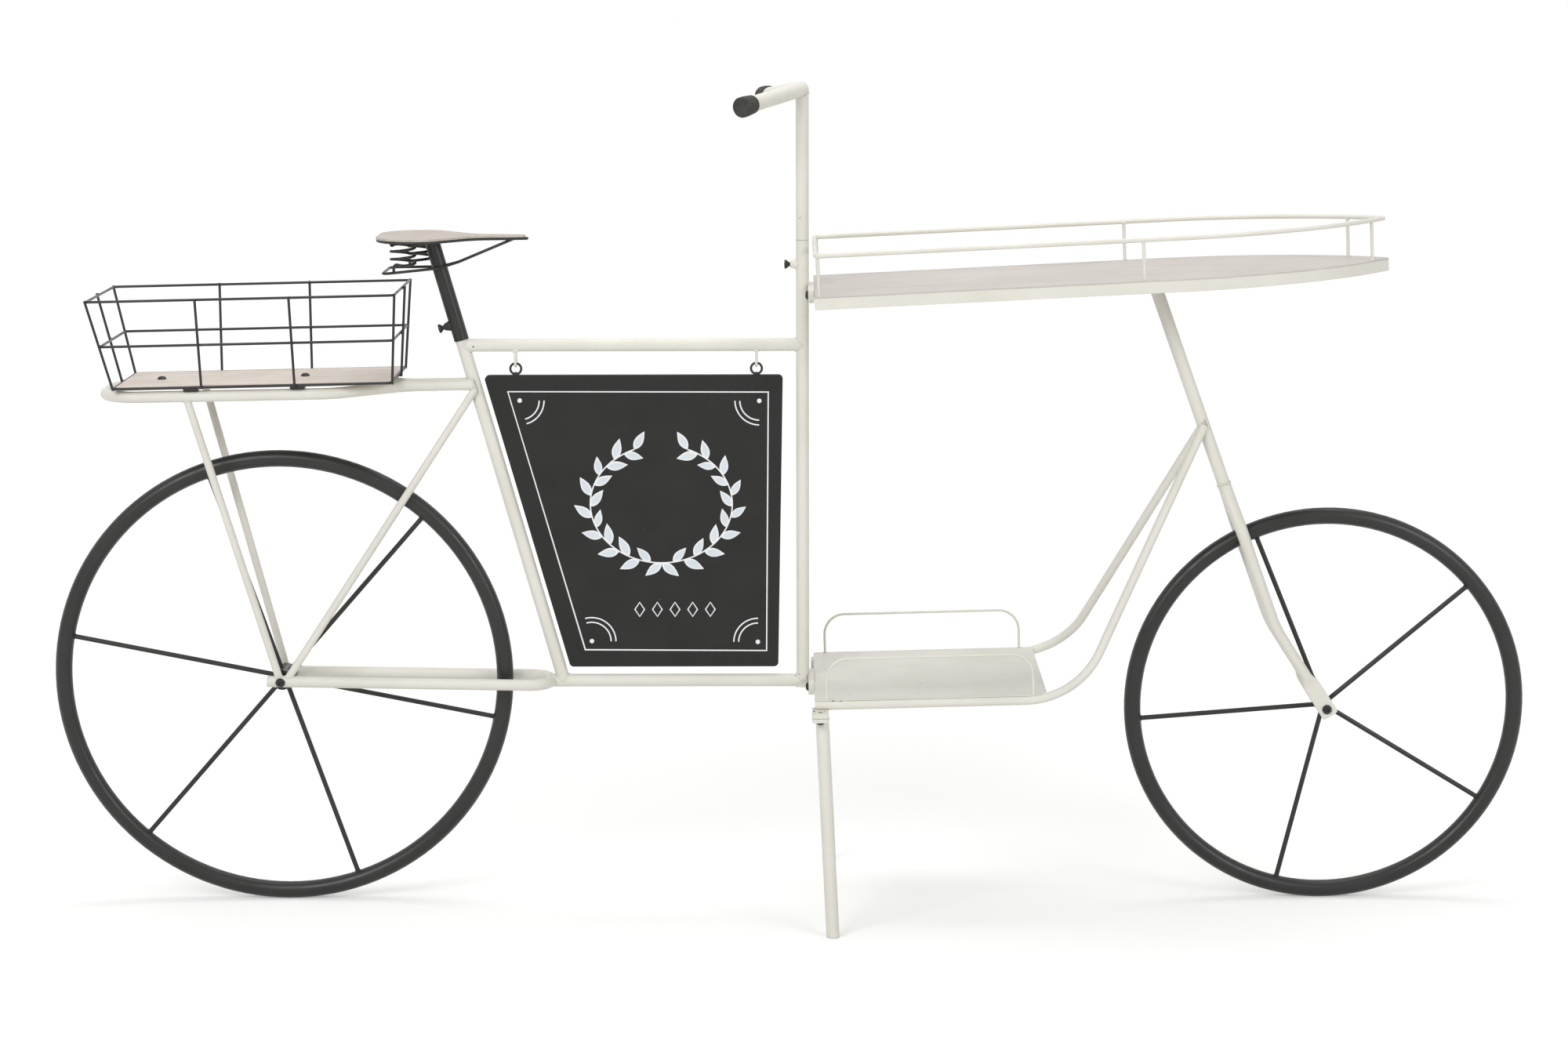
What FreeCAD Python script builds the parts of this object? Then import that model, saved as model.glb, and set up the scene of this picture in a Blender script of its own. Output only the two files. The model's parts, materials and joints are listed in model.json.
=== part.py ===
import FreeCAD
import Part
import math
import os

import Sketcher
from FreeCAD import Placement, Rotation, Vector

# Bicycle display stand: a rear frame with wheel, rack, basket and sign, bolted to a
# front unit with shelf, tray, fork and wheel, held up by two splayed legs.
# +X is the way the bicycle faces, +Y is its left, +Z is up and the ground is Z = 0.
# Lengths are millimetres and angles are degrees.

doc = FreeCAD.newDocument("bicycle_display_stand")
sheet = doc.addObject("Spreadsheet::Sheet", "sizes")

driving_sizes = [
    # wheels and axles
    ("wheel_tube_radius", 10.4),
    ("wheel_tube_wall", 1.5),
    ("rear_rim_radius", 276.2),
    ("front_rim_radius", 239.0),
    ("rear_axle_back", 631.5),
    ("front_axle_ahead", 668.7),
    ("spoke_radius", 3.0),
    ("rear_spoke_count", 6),
    ("front_spoke_count", 5),
    ("rear_spoke_turn", -11.2),
    ("front_spoke_turn", 40.5),
    ("hub_radius", 12.5),
    ("hub_end_gap", 1.5),
    ("axle_radius", 4.0),
    ("axle_clearance", 0.06),
    ("axle_head_radius", 5.8),
    ("axle_head_height", 4.2),
    ("axle_nut_radius", 7.4),
    ("axle_nut_height", 6.5),
    ("axle_stick_out", 2.0),
    ("socket_radius", 2.4),
    ("socket_depth", 2.2),
    ("vent_radius", 1.5),
    # rear frame
    ("main_tube_radius", 8.0),
    ("main_tube_wall", 1.5),
    ("loop_tube_radius", 7.0),
    ("loop_tube_wall", 1.5),
    ("stay_radius", 4.75),
    ("stay_wall", 1.2),
    ("chainstay_half_width", 30.5),
    ("chainstay_tail", 17.0),
    ("chainstay_bend", 26.0),
    ("chainstay_nose_gap", 16.5),
    ("bottom_tube_height", 281.0),
    ("top_tube_height", 703.3),
    ("seat_tube_foot_back", 281.7),
    ("seat_tube_lean", 15.67),
    ("seat_tube_insert", 95.0),
    ("post_ahead", 17.2),
    ("post_top_height", 832.2),
    ("stay_foot_lead", 6.0),
    ("stay_top_height", 650.4),
    ("stay_top_spread", 8.5),
    # rack
    ("rack_height", 655.5),
    ("rack_tilt", 1.0),
    ("rack_half_width", 66.0),
    ("rack_length", 451.0),
    ("rack_neck_length", 82.0),
    ("rack_taper_length", 84.0),
    ("rack_arm_gap", 0.6),
    ("rack_bend", 50.0),
    ("rack_neck_bend", 60.0),
    ("strut_top_back", 732.0),
    # basket
    ("basket_wire_radius", 1.6),
    ("basket_middle_back", 649.5),
    ("basket_height", 662.9),
    ("basket_tilt", 1.2),
    ("basket_floor_half_length", 169.0),
    ("basket_floor_half_width", 73.0),
    ("basket_rim_rear", 193.5),
    ("basket_rim_front", 177.7),
    ("basket_rim_half_width", 88.0),
    ("basket_depth", 108.0),
    ("basket_mid_height", 52.5),
    ("basket_corner", 6.0),
    ("basket_weld_gap", 0.25),
    ("basket_upright_rear", 61.5),
    ("basket_upright_front", 51.5),
    ("floor_thickness", 4.0),
    ("floor_edge_gap", 0.4),
    ("strap_width", 18.0),
    ("strap_thickness", 2.0),
    ("strap_rear_offset", 75.5),
    ("strap_front_offset", 54.0),
    ("strap_tab_reach", 60.0),
    ("basket_bolt_setback", 47.5),
    # small bolts
    ("bolt_radius", 3.0),
    ("bolt_hole_clearance", 0.1),
    ("bolt_head_radius", 5.5),
    ("bolt_head_height", 3.4),
    ("nut_radius", 5.5),
    ("nut_height", 4.5),
    ("bolt_stick_out", 1.5),
    ("head_crown_share", 0.62),
    ("head_edge_share", 0.35),
    # sign
    ("sign_top_height", 666.2),
    ("sign_bottom_height", 299.0),
    ("sign_top_left_back", 375.8),
    ("sign_top_right_back", 7.0),
    ("sign_bottom_left_back", 273.3),
    ("sign_bottom_right_back", 13.4),
    ("sign_depth", 8.0),
    ("sign_sheet", 1.2),
    ("sign_corner", 5.5),
    ("sign_edge_round", 0.8),
    ("ring_left_back", 336.0),
    ("ring_right_back", 39.5),
    ("ring_radius", 6.7),
    ("ring_wire_radius", 1.5),
    ("ring_sink", 0.4),
    ("hook_wire_radius", 1.7),
    ("hook_half_width", 5.0),
    ("hook_clearance", 0.3),
    # handlebar and stem
    ("bar_height", 1016.0),
    ("bar_radius", 9.5),
    ("bar_wall", 1.5),
    ("bar_half_width", 133.0),
    ("bar_sweep", 59.0),
    ("bar_droop", 15.5),
    ("bar_bend", 20.0),
    ("bar_turn", -5.1),
    ("cap_radius", 12.2),
    ("cap_mouth_radius", 11.2),
    ("cap_length", 24.0),
    ("cap_end_thickness", 3.0),
    ("cap_edge", 1.2),
    ("cap_taper_share", 0.3),
    ("stem_seam_gap", 0.3),
    ("spigot_clearance", 0.06),
    ("spigot_wall", 1.5),
    ("spigot_depth", 110.0),
    ("spigot_reach", 45.0),
    # thumb screws
    ("stem_screw_height", 802.4),
    ("seat_screw_rise", 20.6),
    ("screw_radius", 2.5),
    ("screw_clearance", 0.06),
    ("screw_tip_gap", 0.5),
    ("boss_base_radius", 6.5),
    ("boss_tip_radius", 3.9),
    ("boss_length", 6.9),
    ("knob_gap", 0.4),
    ("knob_radius", 5.5),
    ("knob_neck_radius", 2.6),
    ("knob_neck_length", 4.3),
    ("knob_rim", 2.2),
    ("knob_collar", 1.0),
    ("knob_crown", 0.6),
    # seat
    ("sleeve_rise", 445.4),
    ("sleeve_radius", 9.2),
    ("sleeve_clearance", 0.06),
    ("saddle_height", 836.5),
    ("saddle_thickness", 3.0),
    ("saddle_edge_round", 1.0),
    ("saddle_rear_back", 502.0),
    ("saddle_nose_back", 322.0),
    ("saddle_half_width", 70.0),
    ("saddle_rear_half_width", 58.0),
    ("saddle_waist_half_width", 13.0),
    ("saddle_nose_half_width", 5.0),
    ("saddle_widest_back", 438.0),
    ("saddle_waist_back", 384.0),
    ("saddle_nose_flat", 0.5),
    ("saddle_waist_bend", 45.0),
    ("saddle_side_bend", 32.0),
    ("saddle_rear_bend", 46.0),
    ("saddle_inset", 1.8),
    ("saddle_wire_radius", 1.7),
    ("saddle_nose_reach", 2.5),
    ("loop_rear_back", 493.0),
    ("loop_rear_height", 795.4),
    ("loop_rear_half_width", 43.0),
    ("loop_meet_back", 404.0),
    ("loop_meet_height", 806.0),
    ("loop_nose_back", 335.0),
    ("loop_wire_gap", 0.5),
    ("loop_sleeve_drop", 1.5),
    ("loop_meet_bend", 12.0),
    ("loop_sleeve_bend", 20.0),
    ("loop_rear_bend", 7.0),
    ("spring_wire_radius", 1.75),
    ("spring_radius", 14.7),
    ("spring_half_spacing", 26.0),
    ("spring_back", 461.0),
    ("spring_stagger", 8.0),
    ("spring_turns", 2.5),
    ("spring_end_turn", 68.75),
    ("spring_end_rise", 4.0),
    ("spring_foot_gap", 0.15),
    # flanges between the rear frame and the front unit
    ("flange_half_width", 40.0),
    ("flange_height", 20.0),
    ("flange_thickness", 3.5),
    ("flange_weld_depth", 1.0),
    ("flange_bolt_spread", 30.0),
    ("shelf_joint_gap", 0.1),
    ("upper_flange_height", 767.7),
    ("lower_flange_height", 279.0),
    # shelf
    ("shelf_height", 775.2),
    ("shelf_tilt", 2.75),
    ("shelf_half_width", 130.0),
    ("shelf_straight", 436.0),
    ("shelf_bow_radius", 351.0),
    ("shelf_nose_radius", 14.0),
    ("shelf_skirt", 15.0),
    ("shelf_bar", 3.0),
    ("shelf_sheet", 1.3),
    ("rail_wire_radius", 2.9),
    ("rail_post_radius", 2.1),
    ("rail_inset", 6.0),
    ("rail_stern_inset", 3.5),
    ("rail_height", 48.8),
    ("rail_corner", 8.0),
    ("rail_post_middle", 393.5),
    ("rail_post_front_right", 681.0),
    ("rail_post_front_left", 661.5),
    # tray
    ("tray_height", 286.3),
    ("tray_tilt", 1.41),
    ("tray_length", 282.0),
    ("tray_half_width", 137.5),
    ("tray_sheet", 1.5),
    ("tray_corner", 4.0),
    ("tray_tube_radius", 5.5),
    ("tray_tube_wall", 1.2),
    ("tray_tube_half_spacing", 136.0),
    ("tray_bend", 103.0),
    ("tray_bend_ahead", 350.2),
    ("tray_tube_top_height", 602.0),
    ("tray_tube_gap", 0.1),
    ("hoop_wire_radius", 1.6),
    ("hoop_half_spacing", 134.5),
    ("hoop_rear", 15.0),
    ("hoop_front", 265.0),
    ("hoop_height", 50.0),
    ("hoop_corner", 26.0),
    # column and fork
    ("column_foot_ahead", 538.8),
    ("column_foot_height", 528.9),
    ("column_rake", 19.87),
    ("fork_half_spacing", 30.0),
    ("fork_crown_spread", 5.0),
    ("fork_crown_length", 12.0),
    ("fork_spread_length", 56.0),
    ("fork_knee_height", 342.0),
    ("fork_knee_bend", 120.0),
    ("fork_crown_bend", 24.0),
    ("fork_flat_start", 56.0),
    ("fork_flat_full", 26.0),
    ("fork_tip_reach", 10.0),
    ("fork_tip_width", 21.5),
    ("fork_tip_thickness", 5.0),
    ("fork_tip_corner", 3.0),
    ("fork_tip_root", 0.5),
    # legs
    ("leg_plate_ahead", 38.0),
    ("leg_plate_width", 20.0),
    ("leg_plate_length", 34.0),
    ("leg_plate_thickness", 5.0),
    ("leg_plate_corner", 3.0),
    ("leg_plate_out", 145.0),
    ("leg_plate_gap", 0.3),
    ("leg_pad_drop", 6.5),
    ("leg_pad_sink", 1.5),
    ("leg_bolt_out", 154.0),
    ("leg_bolt_tip_gap", 0.5),
    ("leg_top_out", 138.0),
    ("leg_top_ahead", 40.0),
    ("leg_foot_out", 175.0),
    ("leg_foot_ahead", 53.0),
]

for row, (alias, value) in enumerate(driving_sizes, 1):
    sheet.set("A%d" % row, alias)
    sheet.set("B%d" % row, str(value))
    sheet.setAlias("B%d" % row, alias)
doc.recompute()

nodes = {}
cores = {}


def cell(alias):
    return float(sheet.get(alias))


def keep(label, piece):
    piece.Label = label
    nodes[label] = piece
    return piece


def tilted(x, y, z, rise):
    # a frame whose X axis climbs by the given angle
    return Placement(Vector(x, y, z), Rotation(Vector(0, 1, 0), -rise))


def facing(origin, direction, upright=None):
    # a frame whose Z axis points along the given direction
    if upright is None:
        return Placement(origin, Rotation(Vector(0, 0, 1), direction))
    return Placement(origin, Rotation(Vector(), upright, direction, "ZYX"))


# Straight rods and tubes

def rod(name, start, end, radius):
    piece = doc.addObject("Part::Cylinder", name)
    piece.setExpression("Radius", radius)
    piece.Height = (end - start).Length
    piece.Placement = facing(start, end - start)
    return piece


def cut(name, base, *tools):
    for number, tool in enumerate(tools, 1):
        step = doc.addObject("Part::Cut", "%s_cut%d" % (name, number))
        step.Base = base
        step.Tool = tool
        base = step
    return base


def group(name, pieces):
    piece = doc.addObject("Part::Compound", name)
    piece.Links = pieces
    return piece


def tube(name, start, end, radius, wall, *copes):
    along = (end - start).normalize()
    cores[name] = rod(name + "_core", start, end, radius)
    bore = rod(name + "_bore", start - along, end + along, "%s - %s" % (radius, wall))
    return cut(name, cores[name], bore, *copes)


def slab(name, low, high):
    piece = doc.addObject("Part::Box", name)
    piece.Length = high.x - low.x
    piece.Width = high.y - low.y
    piece.Height = high.z - low.z
    piece.Placement.Base = low
    return piece


# Bent rods and tubes

def arc_at(before, corner, after, radius):
    # the fillet arc of one corner, as start, middle and end points
    back = (before - corner).normalize()
    ahead = (after - corner).normalize()
    half = back.getAngle(ahead) / 2
    reach = radius / math.tan(half)
    bisector = (back + ahead).normalize()
    middle = corner + bisector * (radius / math.sin(half) - radius)
    return corner + back * reach, middle, corner + ahead * reach


def bent_curves(corners, bends, closed):
    # straight runs joined by arcs; bends holds one radius per turned corner
    count = len(corners)
    if closed:
        arcs = [arc_at(corners[i - 1], corners[i], corners[(i + 1) % count], bends[i])
                for i in range(count)]
        ends = [arcs[-1][2]]
    else:
        arcs = [arc_at(corners[i - 1], corners[i], corners[i + 1], bends[i - 1])
                for i in range(1, count - 1)]
        ends = [corners[0]]
    curves = []
    here = ends[0]
    for start, middle, end in arcs:
        if (start - here).Length > 1e-6:
            curves.append(Part.LineSegment(here, start))
        curves.append(Part.Arc(start, middle, end))
        here = end
    if not closed:
        curves.append(Part.LineSegment(here, corners[-1]))
    return curves


def path_sketch(name, frame, corners, bends, closed=False):
    sketch = doc.addObject("Sketcher::SketchObject", name + "_path")
    flat = [Vector(x, y, 0) for x, y in corners]
    sketch.addGeometry(bent_curves(flat, bends, closed), False)
    sketch.Placement = frame
    doc.recompute()
    return sketch


def path_wire(name, curves):
    spine = doc.addObject("Part::Feature", name + "_path")
    spine.Shape = Part.Wire([curve.toShape() for curve in curves])
    return spine


def sweep(name, spine, radius, seam=None):
    # seam turns the section's start away from what is welded to the tube
    first = spine.Shape.Edges[0]
    begin = first.valueAt(first.FirstParameter)
    tangent = first.tangentAt(first.FirstParameter)
    circle = doc.addObject("Part::Circle", name + "_section")
    circle.setExpression("Radius", radius)
    circle.Placement = facing(begin, tangent)
    if seam is not None:
        circle.Placement = Placement(begin, Rotation(seam, Vector(), tangent, "ZXY"))
    piece = doc.addObject("Part::Sweep", name)
    piece.Sections = [circle]
    piece.Spine = (spine, ["Edge%d" % (i + 1) for i in range(len(spine.Shape.Edges))])
    piece.Solid = True
    piece.Frenet = False
    return piece


def bent_tube(name, spine, radius, wall, *copes, seam=None):
    cores[name] = sweep(name + "_core", spine, radius, seam)
    bore = sweep(name + "_bore", spine, "%s - %s" % (radius, wall), seam)
    return cut(name, cores[name], bore, *copes)


# Plates, turned pieces and fasteners

def body_sketch(body, name, plane):
    sketch = body.newObject("Sketcher::SketchObject", name)
    support = [f for f in body.Origin.OriginFeatures if f.Role == plane][0]
    sketch.AttachmentSupport = [(support, "")]
    sketch.MapMode = "FlatFace"
    return sketch


def plate(name, frame, curves, thickness, holes=(), hole_radius=None):
    # outline curves and round holes padded up from the frame's XY plane
    body = doc.addObject("PartDesign::Body", name)
    sketch = body_sketch(body, name + "_outline", "XY_Plane")
    sketch.addGeometry(curves, False)
    for x, y in holes:
        hole = sketch.addGeometry(Part.Circle(Vector(x, y, 0), Vector(0, 0, 1), 1.0), False)
        sketch.addConstraint(Sketcher.Constraint("Radius", hole, 1.0))
        sketch.setExpression("Constraints[%d]" % (sketch.ConstraintCount - 1), hole_radius)
    pad = body.newObject("PartDesign::Pad", name + "_pad")
    pad.Profile = sketch
    pad.setExpression("Length", thickness)
    body.Placement = frame
    return body


def faces_along(shape, way):
    # names of the flat faces that look up (1) or down (-1) the local Z axis
    return ["Face%d" % number for number, face in enumerate(shape.Faces, 1)
            if face.normalAt(0, 0).z * way > 0.99]


def round_top(body, name, radius):
    doc.recompute()
    block = body.Tip
    piece = body.newObject("PartDesign::Fillet", name)
    piece.Base = (block, faces_along(block.Shape, 1))
    piece.setExpression("Radius", radius)
    doc.recompute()
    return piece


def polygon(corners):
    points = [Vector(x, y, 0) for x, y in corners]
    return [Part.LineSegment(points[i - 1], points[i]) for i in range(len(points))]


def rounded(corners, bends):
    return bent_curves([Vector(x, y, 0) for x, y in corners], bends, True)


def obround(half_length, half_width):
    flat = half_length - half_width
    top = Part.LineSegment(Vector(flat, half_width, 0), Vector(-flat, half_width, 0))
    bottom = Part.LineSegment(Vector(-flat, -half_width, 0), Vector(flat, -half_width, 0))
    right = Part.Arc(Vector(flat, -half_width, 0), Vector(half_length, 0, 0),
                     Vector(flat, half_width, 0))
    left = Part.Arc(Vector(-flat, half_width, 0), Vector(-half_length, 0, 0),
                    Vector(-flat, -half_width, 0))
    return [top, left, bottom, right]


def turned(name, frame, profile):
    # radius and height points turned about the frame's Z axis
    body = doc.addObject("PartDesign::Body", name)
    sketch = body_sketch(body, name + "_profile", "XZ_Plane")
    sketch.addGeometry(polygon(profile), False)
    turn = body.newObject("PartDesign::Revolution", name + "_turn")
    turn.Profile = sketch
    turn.ReferenceAxis = (sketch, ["V_Axis"])
    turn.Angle = 360
    body.Placement = frame
    return body


def hexagon(radius):
    return polygon([(radius * math.cos(math.radians(60 * i + 30)),
                     radius * math.sin(math.radians(60 * i + 30))) for i in range(6)])


def socket_bolt(name, frame, head_radius, head_height, shank_radius, shank_length):
    # button-headed bolt: the head stands up from the frame's origin, the shank hangs below
    crown = head_radius * cell("head_crown_share")
    edge = head_height * cell("head_edge_share")
    body = turned(name, frame, [
        (0, -shank_length), (shank_radius, -shank_length), (shank_radius, 0), (head_radius, 0),
        (head_radius, edge), (crown, head_height), (0, head_height)])
    doc.recompute()
    sketch = body_sketch(body, name + "_socket", "XY_Plane")
    sketch.addGeometry(hexagon(cell("socket_radius")), False)
    sketch.AttachmentOffset = Placement(Vector(0, 0, head_height), Rotation())
    pocket = body.newObject("PartDesign::Pocket", name + "_pocket")
    pocket.Profile = sketch
    pocket.setExpression("Length", "sizes.socket_depth")
    return body


def small_bolt(name, frame, grip):
    length = grip + cell("nut_height") + cell("bolt_stick_out")
    return socket_bolt(name, frame, cell("bolt_head_radius"), cell("bolt_head_height"),
                       cell("bolt_radius"), length)


def hex_nut(name, frame, radius, height, bore):
    return plate(name, frame, hexagon(radius), height, [(0, 0)], bore)


def small_nut(name, frame):
    return hex_nut(name, frame, cell("nut_radius"), "sizes.nut_height",
                   "sizes.bolt_radius + sizes.bolt_hole_clearance")


main_radius = "sizes.main_tube_radius"
main_wall = "sizes.main_tube_wall"
loop_radius = "sizes.loop_tube_radius"
loop_wall = "sizes.loop_tube_wall"
stay_radius = "sizes.stay_radius"
stay_wall = "sizes.stay_wall"
bolt_hole = "sizes.bolt_radius + sizes.bolt_hole_clearance"
axle_hole = "sizes.axle_radius + sizes.axle_clearance"

# Wheels: a hollow rim with a vent hole, round spokes and a plain hub on the axle bolt

rear_axle = Vector(-cell("rear_axle_back"), 0, cell("rear_rim_radius") + cell("wheel_tube_radius"))
front_axle = Vector(cell("front_axle_ahead"), 0,
                    cell("front_rim_radius") + cell("wheel_tube_radius"))
across = Rotation(Vector(1, 0, 0), 90)


def wheel(side, axle, rim_radius, spokes, turn, hub_half_length):
    frame = Placement(axle, across)
    core = doc.addObject("Part::Torus", side + "_rim_core")
    core.setExpression("Radius1", "sizes.%s" % rim_radius)
    core.setExpression("Radius2", "sizes.wheel_tube_radius")
    core.Placement = frame
    hollow = doc.addObject("Part::Torus", side + "_rim_hollow")
    hollow.setExpression("Radius1", "sizes.%s" % rim_radius)
    hollow.setExpression("Radius2", "sizes.wheel_tube_radius - sizes.wheel_tube_wall")
    hollow.Placement = frame
    radius = cell(rim_radius)
    vent_turn = math.radians(turn + 180 / spokes)
    outward = Vector(math.cos(vent_turn), 0, math.sin(vent_turn))
    vent = rod(side + "_rim_vent", axle + outward * (radius - 2 * cell("wheel_tube_radius")),
               axle + outward * radius, "sizes.vent_radius")
    keep(side + "_rim", cut(side + "_rim", core, hollow, vent))

    half = Vector(0, hub_half_length, 0)
    hub_core = rod(side + "_hub_core", axle - half, axle + half, "sizes.hub_radius")
    hub_bore = rod(side + "_hub_bore", axle - half * 1.1, axle + half * 1.1, axle_hole)
    keep(side + "_hub", cut(side + "_hub", hub_core, hub_bore))

    rods = []
    for number in range(spokes):
        angle = math.radians(turn + 360 * number / spokes)
        outward = Vector(math.cos(angle), 0, math.sin(angle))
        rods.append(rod("%s_spoke%d" % (side, number + 1),
                        axle + outward * (cell("hub_radius") - cell("spoke_radius")),
                        axle + outward * (radius - cell("wheel_tube_radius") / 2),
                        "sizes.spoke_radius"))
    keep(side + "_spokes", cut(side + "_spokes", group(side + "_spoke_set", rods), core, hub_core))


def axle_bolt(side, axle, outer):
    # the head is on the right of both arms
    head = facing(axle - Vector(0, outer, 0), Vector(0, -1, 0))
    length = 2 * outer + cell("axle_nut_height") + cell("axle_stick_out")
    return socket_bolt(side + "_axle_bolt", head, cell("axle_head_radius"),
                       cell("axle_head_height"), cell("axle_radius"), length)


def axle_nut(side, axle, outer):
    frame = facing(axle + Vector(0, outer, 0), Vector(0, 1, 0))
    return hex_nut(side + "_axle_nut", frame, cell("axle_nut_radius"),
                   "sizes.axle_nut_height", axle_hole)


chainstay_inner = cell("chainstay_half_width") - cell("loop_tube_radius")
chainstay_outer = cell("chainstay_half_width") + cell("loop_tube_radius")
fork_inner = cell("fork_half_spacing") - cell("fork_tip_thickness") / 2
fork_outer = cell("fork_half_spacing") + cell("fork_tip_thickness") / 2
wheel("rear", rear_axle, "rear_rim_radius", int(cell("rear_spoke_count")),
      cell("rear_spoke_turn"), chainstay_inner - cell("hub_end_gap"))
wheel("front", front_axle, "front_rim_radius", int(cell("front_spoke_count")),
      cell("front_spoke_turn"), fork_inner - cell("hub_end_gap"))
keep("axle_bolts", group("axle_bolts", [axle_bolt("rear", rear_axle, chainstay_outer),
                                        axle_bolt("front", front_axle, fork_outer)]))
keep("axle_nuts", group("axle_nuts", [axle_nut("rear", rear_axle, chainstay_outer),
                                      axle_nut("front", front_axle, fork_outer)]))

# Rear frame: post, bottom tube, chainstay loop, seat tube, top tube

lean = math.radians(cell("seat_tube_lean"))
seat_foot = Vector(-cell("seat_tube_foot_back"), 0, cell("bottom_tube_height"))
seat_up = Vector(-math.sin(lean), 0, math.cos(lean))
seat_front = Vector(math.cos(lean), 0, math.sin(lean))
seat_frame = tilted(seat_foot.x, 0, seat_foot.z, cell("seat_tube_lean"))


def seat_axis_at(height):
    return seat_foot + seat_up * ((height - seat_foot.z) / seat_up.z)


post_x = cell("post_ahead")
post_foot = Vector(post_x, 0, cell("bottom_tube_height") - cell("main_tube_radius"))
post_top = Vector(post_x, 0, cell("post_top_height"))
stem_screw_hole = rod("stem_screw_hole", Vector(post_x - 40, 0, cell("stem_screw_height")),
                      Vector(post_x, 0, cell("stem_screw_height")),
                      "sizes.screw_radius + sizes.screw_clearance")
keep("front_post", tube("front_post", post_foot, post_top, main_radius, main_wall,
                        stem_screw_hole))

chainstay_nose = Vector(seat_foot.x - cell("chainstay_nose_gap"), 0, cell("bottom_tube_height"))
chainstay_run = chainstay_nose - rear_axle
chainstay_climb = math.degrees(math.atan2(chainstay_run.z, chainstay_run.x))
chainstay_frame = tilted(rear_axle.x, 0, rear_axle.z, chainstay_climb)
half = cell("chainstay_half_width")
tail = -cell("chainstay_tail")
chainstay_path = path_sketch(
    "chainstay_loop", chainstay_frame,
    [(tail, -half), (chainstay_run.Length, -half), (chainstay_run.Length, half), (tail, half)],
    [cell("chainstay_bend")] * 2)
axle_through = Vector(0, chainstay_outer + 5, 0)
rear_axle_hole = rod("rear_axle_hole", rear_axle - axle_through, rear_axle + axle_through, axle_hole)
keep("chainstay_loop", bent_tube("chainstay_loop", chainstay_path, loop_radius, loop_wall,
                                 rear_axle_hole))

keep("bottom_tube", tube("bottom_tube", chainstay_nose, Vector(post_x, 0, chainstay_nose.z),
                         main_radius, main_wall, cores["front_post"], cores["chainstay_loop"]))

seat_top = seat_foot + seat_up * (cell("sleeve_rise") + cell("seat_tube_insert"))
keep("seat_tube", tube("seat_tube", seat_foot, seat_top, main_radius, main_wall,
                       cores["bottom_tube"], cores["chainstay_loop"]))

top_height = cell("top_tube_height")
keep("top_tube", tube("top_tube", seat_axis_at(top_height), Vector(post_x, 0, top_height),
                      main_radius, main_wall, cores["seat_tube"], cores["front_post"]))

# Rack loop, its struts and the seat stays

rack_joint = seat_axis_at(cell("rack_height"))
rack_frame = tilted(rack_joint.x, 0, rack_joint.z, cell("rack_tilt"))
arm = cell("loop_tube_radius") + cell("rack_arm_gap") / 2
neck = -cell("rack_neck_length")
taper = neck - cell("rack_taper_length")
rack_end = -cell("rack_length")
wide = cell("rack_half_width")
rack_path = path_sketch(
    "rack_loop", rack_frame,
    [(0, -arm), (neck, -arm), (taper, -wide), (rack_end, -wide),
     (rack_end, wide), (taper, wide), (neck, arm), (0, arm)],
    [cell("rack_neck_bend")] * 2 + [cell("rack_bend")] * 2 + [cell("rack_neck_bend")] * 2)
keep("rack_loop", bent_tube("rack_loop", rack_path, loop_radius, loop_wall, cores["seat_tube"]))


def chainstay_point(ahead, side):
    # a point on a chainstay arm's middle line
    return chainstay_frame.multVec(Vector(ahead, side * cell("chainstay_half_width"), 0))


for side, label in ((-1, "right"), (1, "left")):
    stay_top = seat_axis_at(cell("stay_top_height")) + Vector(0, side * cell("stay_top_spread"), 0)
    stay_foot = chainstay_point(cell("stay_foot_lead"), side)
    name = "seat_stay_" + label
    keep(name, tube(name, stay_foot, stay_top, stay_radius, stay_wall,
                    cores["chainstay_loop"], cores["seat_tube"], cores["rack_loop"]))
    along = (-cell("strut_top_back") - rack_joint.x) / math.cos(math.radians(cell("rack_tilt")))
    strut_top = rack_frame.multVec(Vector(along, side * wide, 0))
    name = "rack_strut_" + label
    keep(name, tube(name, chainstay_point(-1, side), strut_top, stay_radius, stay_wall,
                    cores["chainstay_loop"], cores["rack_loop"], cores["seat_stay_" + label]))

# Sign: a pressed steel pan with two rings, hung from wire hooks under the top tube

sign_curves = rounded(
    [(-cell("sign_top_left_back"), cell("sign_top_height")),
     (-cell("sign_bottom_left_back"), cell("sign_bottom_height")),
     (-cell("sign_bottom_right_back"), cell("sign_bottom_height")),
     (-cell("sign_top_right_back"), cell("sign_top_height"))],
    [cell("sign_corner")] * 4)
sign_frame = Placement(Vector(0, cell("sign_depth") / 2, 0), across)
sign = plate("sign_panel", sign_frame, sign_curves, "sizes.sign_depth")
doc.recompute()
sign_block = sign.Tip
pan = sign.newObject("PartDesign::Thickness", "sign_panel_pan")
pan.Base = (sign_block, faces_along(sign_block.Shape, -1))
pan.setExpression("Value", "sizes.sign_sheet")
pan.Reversed = True
round_top(sign, "sign_panel_round", "sizes.sign_edge_round")
keep("sign_panel", sign)

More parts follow.
